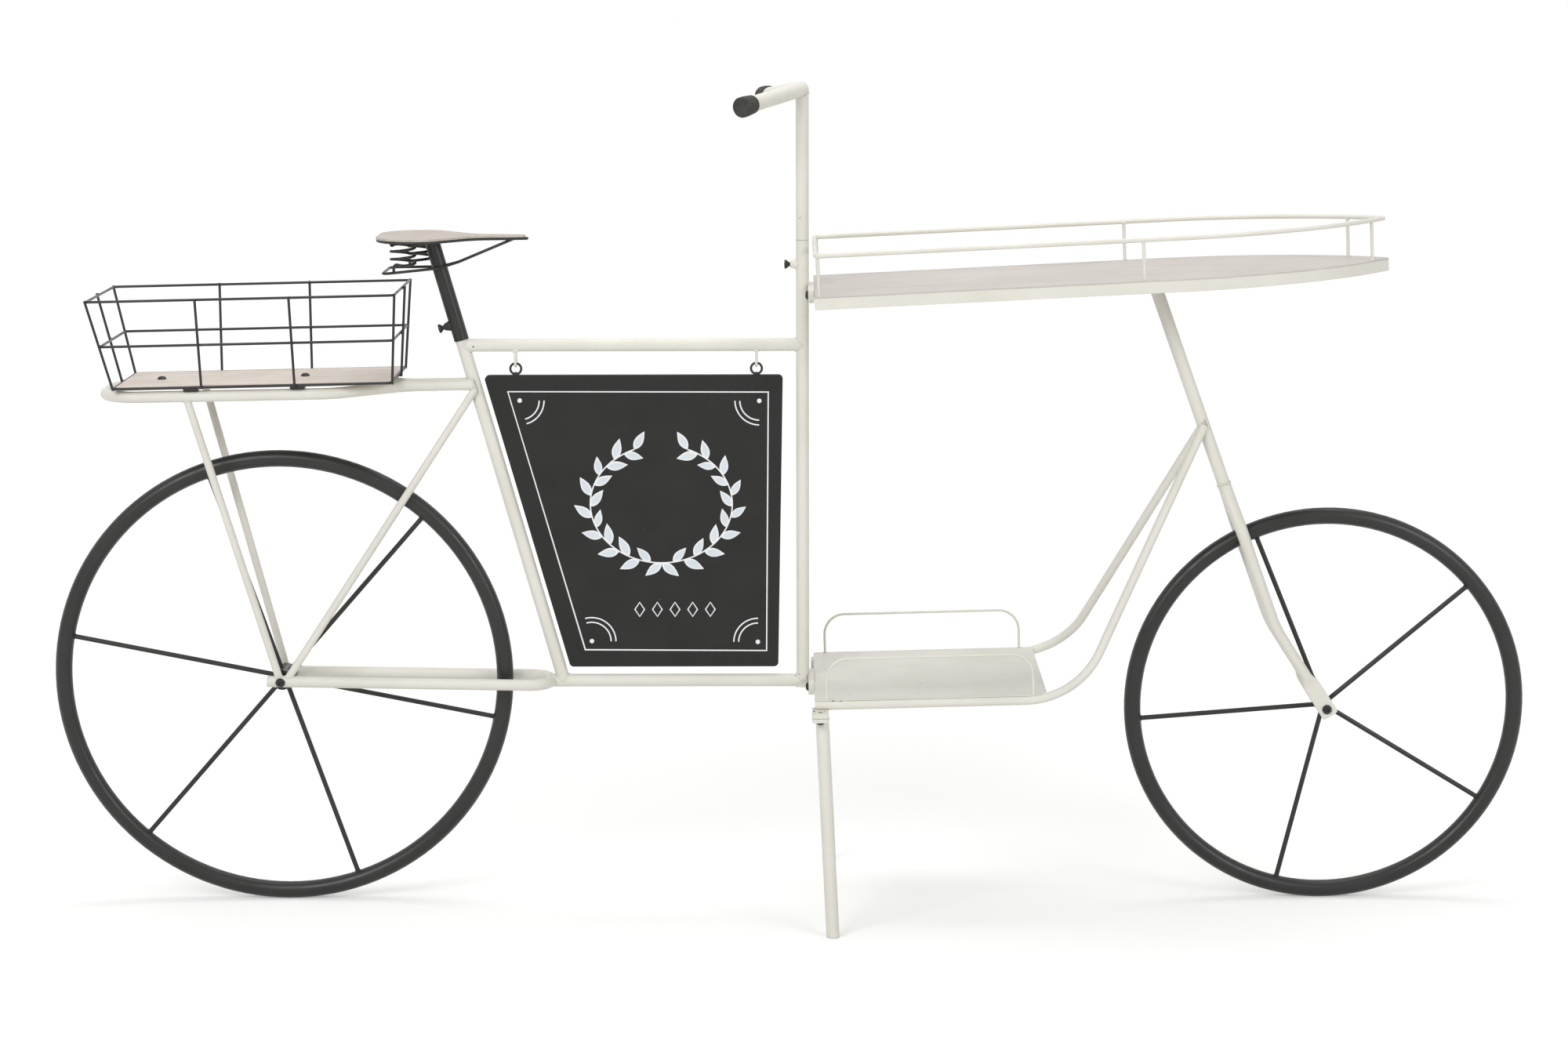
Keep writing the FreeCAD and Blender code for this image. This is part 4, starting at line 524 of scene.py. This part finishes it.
for label, side in sides.items():
    off = offset(side * plan["chainHalf"])
    rackY = side * plan["rackHalf"]
    tubeRuns["chain" + label] = (rearAxle + off, chainNose + off, plan["loop"])
    for name, y in (("rack", rackY), ("rackArm", side * plan["armHalf"])):
        ends = [rackFrame @ Vector((x, y, 0)) for x in plan[name + "Ends"]]
        tubeRuns[name + label] = (*ends, plan["loop"])
    tubeRuns["stay" + label] = (rearAxle + chainRun * plan["stayAhead"] + off,
                                seatAt(plan["stayTop"]) + offset(side * plan["stayHalf"]),
                                plan["rod"])
    strutTop = rackFrame @ Vector((plan["strutX"] - seatAt(plan["rackHeight"]).x, rackY, 0))
    tubeRuns["strut" + label] = (rearAxle - chainRun + off, strutTop, plan["rod"])
    bend = trayStart + Vector((trayBend, side * plan["trayHalf"], trayClimb))
    tubeRuns["tray" + label] = (bend, columnAt(plan["trayTop"])
                                + offset(side * plan["trayTopHalf"]), plan["trayTube"])
    ends = [Vector((x, side * y, z)) for x, y, z in (plan["legFoot"], plan["legTop"])]
    tubeRuns["leg" + label] = (*ends, plan["main"])


def tubeWall(run, atEnd, count):
    # the way to the weld, and points round the tube's wall to start from
    start, end, radius = run
    if not atEnd:
        start, end = end, start
    way = (end - start).normalized()
    one = way.orthogonal().normalized()
    two = way.cross(one)
    turns = [2 * math.pi * step / count for step in range(count)]
    return way, [start + (one * math.cos(turn) + two * math.sin(turn)) * radius for turn in turns]


def seamOnTube(run, atEnd, main, count=40):
    # the line where a tube's end meets another tube's wall
    way, wall = tubeWall(run, atEnd, count)
    axisPoint, axisEnd, mainRadius = main
    axis = (axisEnd - axisPoint).normalized()
    flatWay = way - axis * way.dot(axis)
    square = flatWay.dot(flatWay)
    points = []
    for here in wall:
        gap = here - axisPoint
        flatGap = gap - axis * gap.dot(axis)
        half = flatGap.dot(flatWay)
        inside = max(0.0, half * half - square * (flatGap.dot(flatGap) - mainRadius ** 2))
        points.append(here + way * ((-half - math.sqrt(inside)) / square))
    return points


def seamOnPlane(run, atEnd, point, normal, count=32):
    # the line where a tube's end meets a flat plate
    way, wall = tubeWall(run, atEnd, count)
    return [here + way * ((point - here).dot(normal) / way.dot(normal)) for here in wall]


# Weld beads on the frame

weldSizes = {"main": 1.25, "loop": 1.1, "stay": 0.95, "spoke": 0.9, "plate": 1.1}
tubeWelds = [
    ("bottom", True, "post", "main"), ("bottom", False, "chainBow", "loop"),
    ("top", True, "post", "main"), ("top", False, "seat", "main"),
    ("seat", False, "bottom", "main"),
]
for label in sides:
    tubeWelds += [
        ("stay" + label, False, "chain" + label, "stay"), ("stay" + label, True, "seat", "stay"),
        ("strut" + label, False, "chain" + label, "stay"),
        ("strut" + label, True, "rack" + label, "stay"),
        ("rackArm" + label, True, "seat", "loop"), ("tray" + label, True, "column", "stay"),
    ]
frameSeams = [(seamOnTube(tubeRuns[branch], atEnd, tubeRuns[main]), True, weldSizes[size])
              for branch, atEnd, main, size in tubeWelds]
upright = Vector((0, 0, 1))
shelfUp = (shelfFrame.to_3x3() @ upright).normalized()
plateWelds = [("column", True, shelfFrame @ (upright * plan["shelfUnder"]), shelfUp),
              ("column", False, columnFoot, columnUp)]
plateWelds += [("leg" + label, True, Vector(plan["legTop"]), upright) for label in sides]
frameSeams += [(seamOnPlane(tubeRuns[run], atEnd, point, normal), True, weldSizes["plate"])
               for run, atEnd, point, normal in plateWelds]
flangeSeam = {"back": 24.2, "out": 3.87, "rows": ((758.5, 777.0), (274.0, 288.0)), "steps": 6}
for low, high in flangeSeam["rows"]:
    heights = [low + (high - low) * i / flangeSeam["steps"] for i in range(flangeSeam["steps"] + 1)]
    for side in sides.values():
        line = [Vector((flangeSeam["back"], side * flangeSeam["out"], z)) for z in heights]
        frameSeams.append((line, False, weldSizes["plate"]))

creamBead = makeBeadTree("creamWeldBead", cream)
blackBead = makeBeadTree("blackWeldBead", black)
growPiece("frameWelds", frameSeams, creamBead, "frame", "cream_paint")
stemSeam = seamOnTube(tubeRuns["stem"], True, tubeRuns["bar"])
growPiece("stemWeld", [(stemSeam, True, weldSizes["main"])], creamBead, "handlebar",
          "cream_paint")

# Fork blades: tapered tubes that spread under the column, bend at the knee and are pressed flat
# for the axle. They stand for the CAD blades, whose pressed part is turned a quarter the wrong way.

forkBlade = {
    "halfSpacing": 30.0, "crownSpread": 5.0, "crownLength": 12.0, "spreadLength": 56.0,
    "kneeHeight": 352.0, "bends": (24.0, 24.0, 140.0),
    "crownRadius": 8.2, "radius": 7.0, "taperLength": 110.0,
    "flatStart": 50.0, "flatFull": 34.0, "tipReach": 10.0, "tipCorner": 3.0,
    "tipHalfWidth": (10.2, 10.75), "tipHalfDepth": 2.5, "holeRadius": 4.06,
    "tubePower": 2.0, "tipPower": 6.0, "step": 3.0, "around": 48, "cornerSteps": 6,
}


def roundedPath(corners, bends, arcSteps=12):
    # straight runs joined by arcs, one bend radius for each inner corner
    points = [corners[0]]
    for before, corner, after, bend in zip(corners, corners[1:], corners[2:], bends):
        inWay = (corner - before).normalized()
        outWay = (after - corner).normalized()
        half = inWay.angle(outWay) / 2
        centre = corner + (outWay - inWay).normalized() * (bend / math.cos(half))
        arm = corner - inWay * (bend * math.tan(half)) - centre
        axis = inWay.cross(outWay)
        points += [centre + Matrix.Rotation(2 * half * i / arcSteps, 3, axis) @ arm
                   for i in range(arcSteps + 1)]
    return points + [corners[-1]]


def placeAlong(points, distance):
    # the point and the way ahead at a distance along the path
    for start, end in zip(points, points[1:]):
        length = (end - start).length
        if distance <= length or end is points[-1]:
            return start + (end - start) * (distance / length), (end - start).normalized()
        distance -= length


def bladeSection(sizes, along, toTip):
    # half width, half depth and squareness of the section
    taper = min(1.0, along / sizes["taperLength"])
    radius = sizes["crownRadius"] + (sizes["radius"] - sizes["crownRadius"]) * taper
    above = toTip - sizes["tipReach"]
    share = (sizes["flatStart"] - above) / (sizes["flatStart"] - sizes["flatFull"])
    share = min(1.0, max(0.0, share))
    pressed = share * share * (3 - 2 * share)
    root, end = sizes["tipHalfWidth"]
    flatLength = sizes["flatFull"] + sizes["tipReach"]
    wide = root + (end - root) * max(0.0, 1 - toTip / flatLength)
    inCorner = max(0.0, 1 - toTip / sizes["tipCorner"])
    wide -= sizes["tipCorner"] * (1 - math.sqrt(1 - inCorner ** 2))
    return (radius + (wide - radius) * pressed,
            radius + (sizes["tipHalfDepth"] - radius) * pressed,
            sizes["tubePower"] + (sizes["tipPower"] - sizes["tubePower"]) * pressed)


def tubeMesh(name, points, faces, material):
    # smooth round the wall, flat on the ends
    mesh = bpy.data.meshes.new(name)
    mesh.from_pydata(points, [], faces)
    mesh.polygons.foreach_set("use_smooth", [len(face) == 4 for face in faces])
    mesh.materials.append(material)
    return mesh


def bladeMesh(name, sizes, side):
    knee = columnAt(sizes["kneeHeight"])
    out = offset(side * sizes["halfSpacing"])
    crownOut = offset(side * sizes["crownSpread"])
    crown = columnFoot - columnUp * sizes["crownLength"]
    spread = columnFoot - columnUp * sizes["spreadLength"]
    tip = frontAxle + (frontAxle - knee).normalized() * sizes["tipReach"]
    path = roundedPath([columnFoot + crownOut, crown + crownOut, spread + out, knee + out,
                        tip + out], sizes["bends"])
    total = sum((end - start).length for start, end in zip(path, path[1:]))
    toCorner = total - sizes["tipCorner"]
    count = int(toCorner / sizes["step"])
    stations = [toCorner * i / count for i in range(count)]
    stations += [total - sizes["tipCorner"] * (1 - math.sin(math.pi / 2 * i / sizes["cornerSteps"]))
                 for i in range(sizes["cornerSteps"] + 1)]
    points = []
    around = sizes["around"]
    for along in stations:
        here, way = placeAlong(path, along)
        wideWay = way.cross(Vector((0, 1, 0))).normalized()
        deepWay = wideWay.cross(way)
        wide, deep, power = bladeSection(sizes, along, total - along)
        for step in range(around):
            turn = 2 * math.pi * step / around
            across, through = (math.copysign(abs(v) ** (2 / power), v)
                               for v in (math.cos(turn), math.sin(turn)))
            point = here + wideWay * (wide * across) + deepWay * (deep * through)
            point.y = side * max(0.0, side * point.y)  # the two blades meet in the middle
            points.append(point * mm)
    faces = [tuple(range(around)), tuple(range(len(points) - 1, len(points) - around - 1, -1))]
    for ring in range(0, len(points) - around, around):
        faces += [(ring + i, ring + around + i, ring + around + (i + 1) % around,
                   ring + (i + 1) % around) for i in range(around)]
    return tubeMesh(name, points, faces, cream)


def prismFaces(count):
    # two ends of count points each, and the wall between them
    walls = [(i, (i + 1) % count, count + (i + 1) % count, count + i) for i in range(count)]
    return [tuple(range(count - 1, -1, -1)), tuple(range(count, 2 * count))] + walls


def rodMesh(name, start, end, radius, material, around=48):
    sideWay = (end - start).orthogonal().normalized()
    turns = [Matrix.Rotation(2 * math.pi * i / around, 3, (end - start).normalized()) @ sideWay
             for i in range(around)]
    points = [(place + turn * radius) * mm for place in (start, end) for turn in turns]
    return tubeMesh(name, points, prismFaces(around), material)


def drilled(name, mesh, radius, halfLength=60.0):
    # the mesh with a hole along the front axle
    reach = offset(halfLength)
    rod = rodMesh("axleDrill", frontAxle - reach, frontAxle + reach, radius, mesh.materials[0])
    whole = newObject(name + "Whole", mesh)
    drill = newObject("axleDrill", rod)
    modifier = whole.modifiers.new("drill", "BOOLEAN")
    modifier.operation = "DIFFERENCE"
    modifier.object = drill
    graph = bpy.context.evaluated_depsgraph_get()
    result = bpy.data.meshes.new_from_object(whole.evaluated_get(graph))
    for piece in (whole, drill):
        bpy.data.objects.remove(piece)
    return result


for label, side in sides.items():
    name = "forkBlade" + label
    placePiece(name, drilled(name, bladeMesh(name + "Whole", forkBlade, side),
                             forkBlade["holeRadius"]),
               "frame", "cream_paint", "fork_blade_" + label.lower())

# Spokes are welded to hub and rim

wheelSizes = {
    "rear_wheel": {"axle": rearAxle, "rim": 276.2, "spokes": 6, "turn": -11.2, "hub": 12.5},
    "front_wheel": {"axle": frontAxle, "rim": 239.0, "spokes": 5, "turn": 40.5, "hub": 10.2},
}
spokeWeld = {"spokeRadius": 3.0, "rimTube": 10.4, "hubHalf": 20.0, "steps": 24}


def spokeWays(sizes):
    turns = [math.radians(sizes["turn"] + 360 * number / sizes["spokes"])
             for number in range(sizes["spokes"])]
    return [Vector((math.cos(turn), 0, math.sin(turn))) for turn in turns]


for body, sizes in wheelSizes.items():
    axle = sizes["axle"]
    hub = (axle + offset(-spokeWeld["hubHalf"]), axle + offset(spokeWeld["hubHalf"]), sizes["hub"])
    seams = []
    for out in spokeWays(sizes):
        middle = axle + out * sizes["rim"] / 2
        rimPoint = axle + out * sizes["rim"]
        rim = (rimPoint, rimPoint + Vector((-out.z, 0, out.x)), spokeWeld["rimTube"])
        for end, wall in ((rimPoint, rim), (axle, hub)):
            seam = seamOnTube((middle, end, spokeWeld["spokeRadius"]), True, wall,
                              spokeWeld["steps"])
            seams.append((seam, True, weldSizes["spoke"]))
    growPiece(body.split("_")[0] + "SpokeWelds", seams, blackBead, body, "black_paint")

# the front hub is hidden behind the blades' tips, so it is thinner than the CAD one and its
# spokes reach further in
frontHub = {"halfLength": 26.0, "spokeRadius": 2.98, "spokeFrom": 9.0, "spokeTo": 13.5}
hubHalf = offset(frontHub["halfLength"])
hubRod = rodMesh("hubTube", frontAxle - hubHalf, frontAxle + hubHalf,
                 wheelSizes["front_wheel"]["hub"], black)
hubParts = [drilled("hubTube", hubRod, forkBlade["holeRadius"])]
hubParts += [rodMesh("spokeRoot", frontAxle + out * frontHub["spokeFrom"],
                     frontAxle + out * frontHub["spokeTo"], frontHub["spokeRadius"], black)
             for out in spokeWays(wheelSizes["front_wheel"])]
hubShape = bmesh.new()
for part in hubParts:
    hubShape.from_mesh(part)
hubMesh = bpy.data.meshes.new("frontHub")
hubShape.to_mesh(hubMesh)
hubShape.free()
hubMesh.materials.append(black)
placePiece("frontHub", hubMesh, "front_wheel", "black_paint", "front_hub")

# Spot welds of the wire work

blackSpot = makeSpotTree("blackSpotWeld", black)
creamSpot = makeSpotTree("creamSpotWeld", cream)
# rear, front and side reach from the basket's middle, each at the floor and at the rim
basketWire = {"reach": ((169.0, 193.5), (169.0, 177.7), (73.0, 88.0)), "depth": 108.0,
              "middle": 52.5, "corner": 6.0, "standOff": 3.45, "uprights": (-61.5, 51.5),
              "spot": 1.95}
basketSpots = []
gap = basketWire["standOff"] / 2
cornerOut = math.sqrt(0.5) * (basketWire["corner"] + gap) - basketWire["corner"]
for height in (0.0, basketWire["middle"], basketWire["depth"]):
    share = height / basketWire["depth"]
    rear, front, wide = (low + (high - low) * share for low, high in basketWire["reach"])
    places = [(-rear - gap, 0), (front + gap, 0)]
    for side in sides.values():
        places += [(x, side * (wide + gap)) for x in basketWire["uprights"]]
        places += [(-rear - cornerOut, side * (wide + cornerOut)),
                   (front + cornerOut, side * (wide + cornerOut))]
    basketSpots += [spot(basketFrame @ Vector((x, y, height)), basketWire["spot"])
                    for x, y in places]
growPiece("basketSpotWelds", basketSpots, blackSpot, "frame", "black_paint")

shelfPosts = {"stern": (5.84, 121.66), "middle": (393.5, 124.0), "front": (681.0, 661.5),
              "bowCentre": (436.0, -221.0), "bow": 345.0, "footHeight": 0.2, "headHeight": 47.9,
              "foot": 2.7, "head": 3.2}
creamSpots = []
bowX, bowY = shelfPosts["bowCentre"]
for side, frontX in zip(sides.values(), shelfPosts["front"]):
    frontY = bowY + math.sqrt(shelfPosts["bow"] ** 2 - (frontX - bowX) ** 2)
    for x, y in (shelfPosts["stern"], shelfPosts["middle"], (frontX, frontY)):
        creamSpots += [spot(shelfFrame @ Vector((x, side * y, shelfPosts[end + "Height"])),
                            shelfPosts[end]) for end in ("foot", "head")]
signHangers = (336.0, 39.5)  # both places of hooks and rings, back from the middle
hookWelds = {"out": 5.0, "height": 696.6, "size": 2.4, "flatness": (1.8, 0.9, 1.1)}
growPiece("hookFanWelds", [
    spot((-back, side * hookWelds["out"], hookWelds["height"]), hookWelds["size"])
    for back in signHangers for side in sides.values()], creamSpot, "frame", "cream_paint",
    {"Flatness": hookWelds["flatness"]})
hoopSpots = {"ahead": (15.0, 265.0), "out": 134.5, "height": 0.2, "size": 2.4}
creamSpots += [spot(trayFrame @ Vector((ahead, side * hoopSpots["out"], hoopSpots["height"])),
                    hoopSpots["size"]) for ahead in hoopSpots["ahead"] for side in sides.values()]
growPiece("wireSpotWelds", creamSpots, creamSpot, "frame", "cream_paint")
plugWeld = {"place": (13.9, -7.3, 861.0), "size": 2.0}
growPiece("stemPlugWeld", [spot(plugWeld["place"], plugWeld["size"])], creamSpot, "handlebar",
          "cream_paint")
ringFeet = {"height": 666.8, "size": 3.2}
growPiece("signRingWelds", [
    spot((-back, 0, ringFeet["height"]), ringFeet["size"]) for back in signHangers],
    blackSpot, "sign", "black_paint")

# Darker dots where the weld left pinholes in the paint, at the seat tube, the post's foot, the
# right leg pad and the tray's edge

weldPits = {
    "size": 0.85, "spread": 0.3,
    "places": ((-387.2, -7.9, 702.3), (-390.4, -3.6, 695.2), (13.2, -6.9, 290.1),
               (7.6, -4.9, 287.3), (30.3, -150.4, 275.4), (43.0, -150.5, 275.4),
               (62.9, -138.0, 285.1), (53.5, -137.5, 285.5)),
}
growPiece("weldPits", [spot(place, weldPits["size"]) for place in weldPits["places"]],
          makeSpotTree("darkPitSpot", makeSmallFinish(pitDots)), "frame", "cream_paint",
          {"Spread": weldPits["spread"]})

# Sign front: a border line, a plain laurel oval, four corner quarter rings and a row of lozenges,
# printed in white enamel with a pale blue-grey fill inside the leaves

signArt = {
    "face": -4.0, "lineRadius": 1.2, "stemRadius": 0.9, "flat": 0.3, "lineAround": 10,
    "border": ((-346.0, 646.0), (-25.0, 645.0), (-28.0, 319.4), (-254.4, 320.8)),
    "wreathMiddle": (-158.0, 505.0), "wreathWide": 88.0, "wreathHigh": 74.0,
    "wreathOpen": 22.0, "leafLength": 27.0, "leafWidth": 11.5, "leafSpacing": 13.5,
    "leafAngle": 40.0, "leafThick": 0.3, "leafCrown": (0.96, 0.92), "leafBelly": 0.8,
    "leafSteps": 11, "leafScale": (0.85, 1.06), "fillInset": 1.5, "fillRise": 0.1, "seed": 11,
    "cornerInset": 11.0, "cornerRings": (24.0, 30.0), "cornerSteps": 20, "cornerDot": 3.0,
    "dotFlatness": (1.0, 0.12, 1.0), "lozengeRow": (-142.0, 372.0), "lozengeStep": 22.0,
    "lozengeCount": 5, "lozengeHalf": (6.0, 9.0),
}


def onSign(x, z):
    return Vector((x, signArt["face"], z))


def wreathHalf(side, count=40):
    # one half of the oval, from the bottom up to the opening at the top
    middleX, middleZ = signArt["wreathMiddle"]
    last = math.radians(180 - signArt["wreathOpen"])
    turns = [last * step / count for step in range(count + 1)]
    return [onSign(middleX + side * signArt["wreathWide"] * math.sin(turn),
                   middleZ - signArt["wreathHigh"] * math.cos(turn)) for turn in turns]


def cornerArt():
    # quarter rings about each corner of the border, set in from it, with a dot at their middle
    corners = [Vector(place) for place in signArt["border"]]
    steps = signArt["cornerSteps"]
    arcs = []
    dots = []
    for number, corner in enumerate(corners):
        before = (corners[number - 1] - corner).normalized()
        after = (corners[(number + 1) % len(corners)] - corner).normalized()
        opening = before.angle(after)
        inward = (before + after).normalized()
        middle = corner + inward * (signArt["cornerInset"] / math.sin(opening / 2))
        start = math.atan2(before.y, before.x)
        turn = (math.atan2(after.y, after.x) - start + math.pi) % (2 * math.pi) - math.pi
        angles = [start + turn * step / steps for step in range(steps + 1)]
        for radius in signArt["cornerRings"]:
            arcs.append([onSign(middle.x + radius * math.cos(angle),
                                middle.y + radius * math.sin(angle)) for angle in angles])
        dots.append(spot(onSign(middle.x, middle.y), signArt["cornerDot"]))
    return arcs, dots


def leafMesh(thick, inset):
    # a pointed leaf in its own X Z plane, slightly crowned towards the viewer
    length = signArt["leafLength"]
    shares = [step / signArt["leafSteps"] for step in range(signArt["leafSteps"] + 1)]
    edge = [(inset * 2 + share * (length - inset * 4),
             math.sin(math.pi * share ** signArt["leafBelly"]) * (signArt["leafWidth"] / 2 - inset))
            for share in shares]
    outline = edge + [(x, -z) for x, z in reversed(edge[1:-1])]
    crownX, crownZ = signArt["leafCrown"]
    low = [(x * mm, 0, z * mm) for x, z in outline]
    high = [((x * crownX + length * (1 - crownX) / 2) * mm, -thick * mm, z * crownZ * mm)
            for x, z in outline]
    mesh = bpy.data.meshes.new("leaf")
    mesh.from_pydata(low + high, [], prismFaces(len(outline)))
    return mesh


def makeLeafTree(name, material):
    # leaves to the left and right in turn along every stem
    tree, given, result = startTree(name, {
        "Leaf": ("Object", None), "Spacing": ("Float", signArt["leafSpacing"] * mm),
        "Angle": ("Float", math.radians(signArt["leafAngle"])), "Seed": ("Int", signArt["seed"])},
        material)
    curve = addNode(tree, "GeometryNodeMeshToCurve", {"Mesh": given["Geometry"]})
    points = addNode(tree, "GeometryNodeCurveToPoints", {
        "Curve": curve, "Length": given["Spacing"]}, mode="LENGTH")
    number = addNode(tree, "GeometryNodeInputIndex")
    parity = addNode(tree, "ShaderNodeMath", [number, 2.0], operation="MODULO")
    sign = addNode(tree, "ShaderNodeMath", [parity, 2.0, -1.0], operation="MULTIPLY_ADD")
    turn = addNode(tree, "ShaderNodeMath", [sign, given["Angle"]], operation="MULTIPLY")
    along = addNode(tree, "FunctionNodeAlignRotationToVector", {
        "Vector": points.outputs["Tangent"]}, axis="X", pivot_axis="Y")
    spin = addNode(tree, "FunctionNodeAxisAngleToRotation", {
        "Axis": (0.0, 1.0, 0.0), "Angle": turn})
    aimed = addNode(tree, "FunctionNodeRotateRotation", {"Rotation": along, "Rotate By": spin},
                    rotation_space="LOCAL")
    least, most = signArt["leafScale"]
    chance = addNode(tree, "FunctionNodeRandomValue", {2: least, 3: most, "Seed": given["Seed"]},
                     data_type="FLOAT")
    leaf = addNode(tree, "GeometryNodeObjectInfo", {"Object": given["Leaf"]})
    placed = addNode(tree, "GeometryNodeInstanceOnPoints", {
        "Points": points.outputs["Points"], "Instance": leaf.outputs["Geometry"],
        "Rotation": aimed, "Scale": chance.outputs[1]})
    tree.links.new(placed.outputs[0], result)
    return tree


def makeLineTree(name, material):
    # a round line along every path, pressed flat against the sign's face
    tree, given, result = startTree(name, {
        "Flat": ("Float", signArt["flat"]), "Face": ("Float", signArt["face"] * mm)}, material)
    curve = addNode(tree, "GeometryNodeMeshToCurve", {"Mesh": given["Geometry"]})
    size = addNode(tree, "GeometryNodeInputNamedAttribute", {"Name": "beadSize"},
                   data_type="FLOAT")
    ring = addNode(tree, "GeometryNodeCurvePrimitiveCircle", {
        "Resolution": signArt["lineAround"], "Radius": 1.0})
    line = addNode(tree, "GeometryNodeCurveToMesh", {
        "Curve": curve, "Profile Curve": ring, "Scale": size, "Fill Caps": True})
    place = addNode(tree, "GeometryNodeInputPosition")
    parts = addNode(tree, "ShaderNodeSeparateXYZ", [place]).outputs
    above = addNode(tree, "ShaderNodeMath", [parts["Y"], given["Face"]], operation="SUBTRACT")
    pressed = addNode(tree, "ShaderNodeMath", [above, given["Flat"], given["Face"]],
                      operation="MULTIPLY_ADD")
    whole = addNode(tree, "ShaderNodeCombineXYZ", [parts["X"], pressed, parts["Z"]])
    moved = addNode(tree, "GeometryNodeSetPosition", {"Geometry": line, "Position": whole})
    tree.links.new(moved.outputs[0], result)
    return tree


stems = [wreathHalf(side) for side in sides.values()]
cornerArcs, dotSpots = cornerArt()
linePaths = [([onSign(x, z) for x, z in signArt["border"]], True, signArt["lineRadius"])]
linePaths += [(path, False, signArt["stemRadius"]) for path in stems + cornerArcs]
rowX, rowZ = signArt["lozengeRow"]
halfX, halfZ = signArt["lozengeHalf"]
for number in range(signArt["lozengeCount"]):
    middle = rowX + signArt["lozengeStep"] * (number - (signArt["lozengeCount"] - 1) / 2)
    linePaths.append(([onSign(middle - halfX, rowZ), onSign(middle, rowZ + halfZ),
                       onSign(middle + halfX, rowZ), onSign(middle, rowZ - halfZ)], True,
                      signArt["stemRadius"]))
growPiece("signLines", linePaths, makeLineTree("enamelLine", enamel), "sign")
for name, thick, inset, material in (
        ("signLeaves", signArt["leafThick"], 0.0, enamel),
        ("signLeafFills", signArt["leafThick"] + signArt["fillRise"], signArt["fillInset"],
         enamelFill)):
    leafObject = newObject("leafShape", leafMesh(thick, inset))
    growPiece(name, [(stem, False, 1.0) for stem in stems], makeLeafTree(name + "Tree", material),
              "sign", inputs={"Leaf": leafObject})
    bpy.data.objects.remove(leafObject)
growPiece("signDots", dotSpots, makeSpotTree("enamelDots", enamel), "sign",
          inputs={"Flatness": signArt["dotFlatness"], "Spread": 0.0})

# Stage: a pale floor that keeps the shadow, a white surround and three soft boxes

# the floor is lifted to white where the eye sees it, more with distance, so the shadow stays
stageSetup = {"floorHalf": 30.0, "floorColour": "#EDEDEC", "floorLift": (0.29, 0.63),
              "liftReach": (0.6, 5.0), "surround": 0.44}
softBoxes = [
    # name, place, aim, width, height, watts
    ("keyBox", (-2.3, -3.4, 3.0), (0.0, 0.0, 0.5), 2.4, 1.8, 80.0),
    ("fillBox", (2.8, -3.0, 2.2), (0.1, 0.0, 0.5), 1.8, 1.8, 41.0),
    ("topBox", (0.0, 0.4, 3.8), (0.0, 0.0, 0.4), 3.0, 1.8, 47.0),
]


def seenDirectly(tree):
    # 1 for rays from the eye, mirror-like ones and those through glass
    rays = addNode(tree, "ShaderNodeLightPath").outputs
    some = addNode(tree, "ShaderNodeMath", [rays["Is Camera Ray"], rays["Is Glossy Ray"]],
                   operation="MAXIMUM")
    return addNode(tree, "ShaderNodeMath", [some, rays["Is Transmission Ray"]],
                   operation="MAXIMUM")


def makeStage(setup):
    half = setup["floorHalf"]
    mesh = bpy.data.meshes.new("studioFloor")
    mesh.from_pydata([(-half, -half, 0), (half, -half, 0), (half, half, 0), (-half, half, 0)],
                     [], [(0, 1, 2, 3)])
    floor = newObject("studioFloor", mesh)
    material, tree, place = startMaterial({"name": "paleStudioPaper"})
    paper = addNode(tree, "ShaderNodeBsdfDiffuse", {"Color": setup["floorColour"]})
    away = addNode(tree, "ShaderNodeVectorMath", [place], operation="LENGTH")
    level = addNode(tree, "ShaderNodeMapRange", [
        away.outputs["Value"], *setup["liftReach"], *setup["floorLift"]])
    lift = addNode(tree, "ShaderNodeMath", [level, seenDirectly(tree)], operation="MULTIPLY")
    glow = addNode(tree, "ShaderNodeEmission", {"Strength": lift})
    both = addNode(tree, "ShaderNodeAddShader", [paper, glow])
    addNode(tree, "ShaderNodeOutputMaterial", {"Surface": both})
    mesh.materials.append(material)
    world = bpy.data.worlds.new("studioSurround")
    scene.world = world
    tree = clearedTree(world)
    level = addNode(tree, "ShaderNodeMix", {0: seenDirectly(tree), 2: setup["surround"], 3: 1.0},
                    data_type="FLOAT")
    surround = addNode(tree, "ShaderNodeBackground", {"Color": "#FFFFFF", "Strength": level})
    addNode(tree, "ShaderNodeOutputWorld", {"Surface": surround})


makeStage(stageSetup)
for name, place, aim, width, height, watts in softBoxes:
    lampData = bpy.data.lights.new(name, "AREA")
    lampData.shape = "RECTANGLE"
    lampData.size = width
    lampData.size_y = height
    lampData.energy = watts
    turned = (Vector(aim) - Vector(place)).to_track_quat("-Z", "Y").to_matrix().to_4x4()
    newObject(name, lampData).matrix_world = Matrix.Translation(place) @ turned
scene.view_settings.view_transform = "Standard"
print("stage lit")
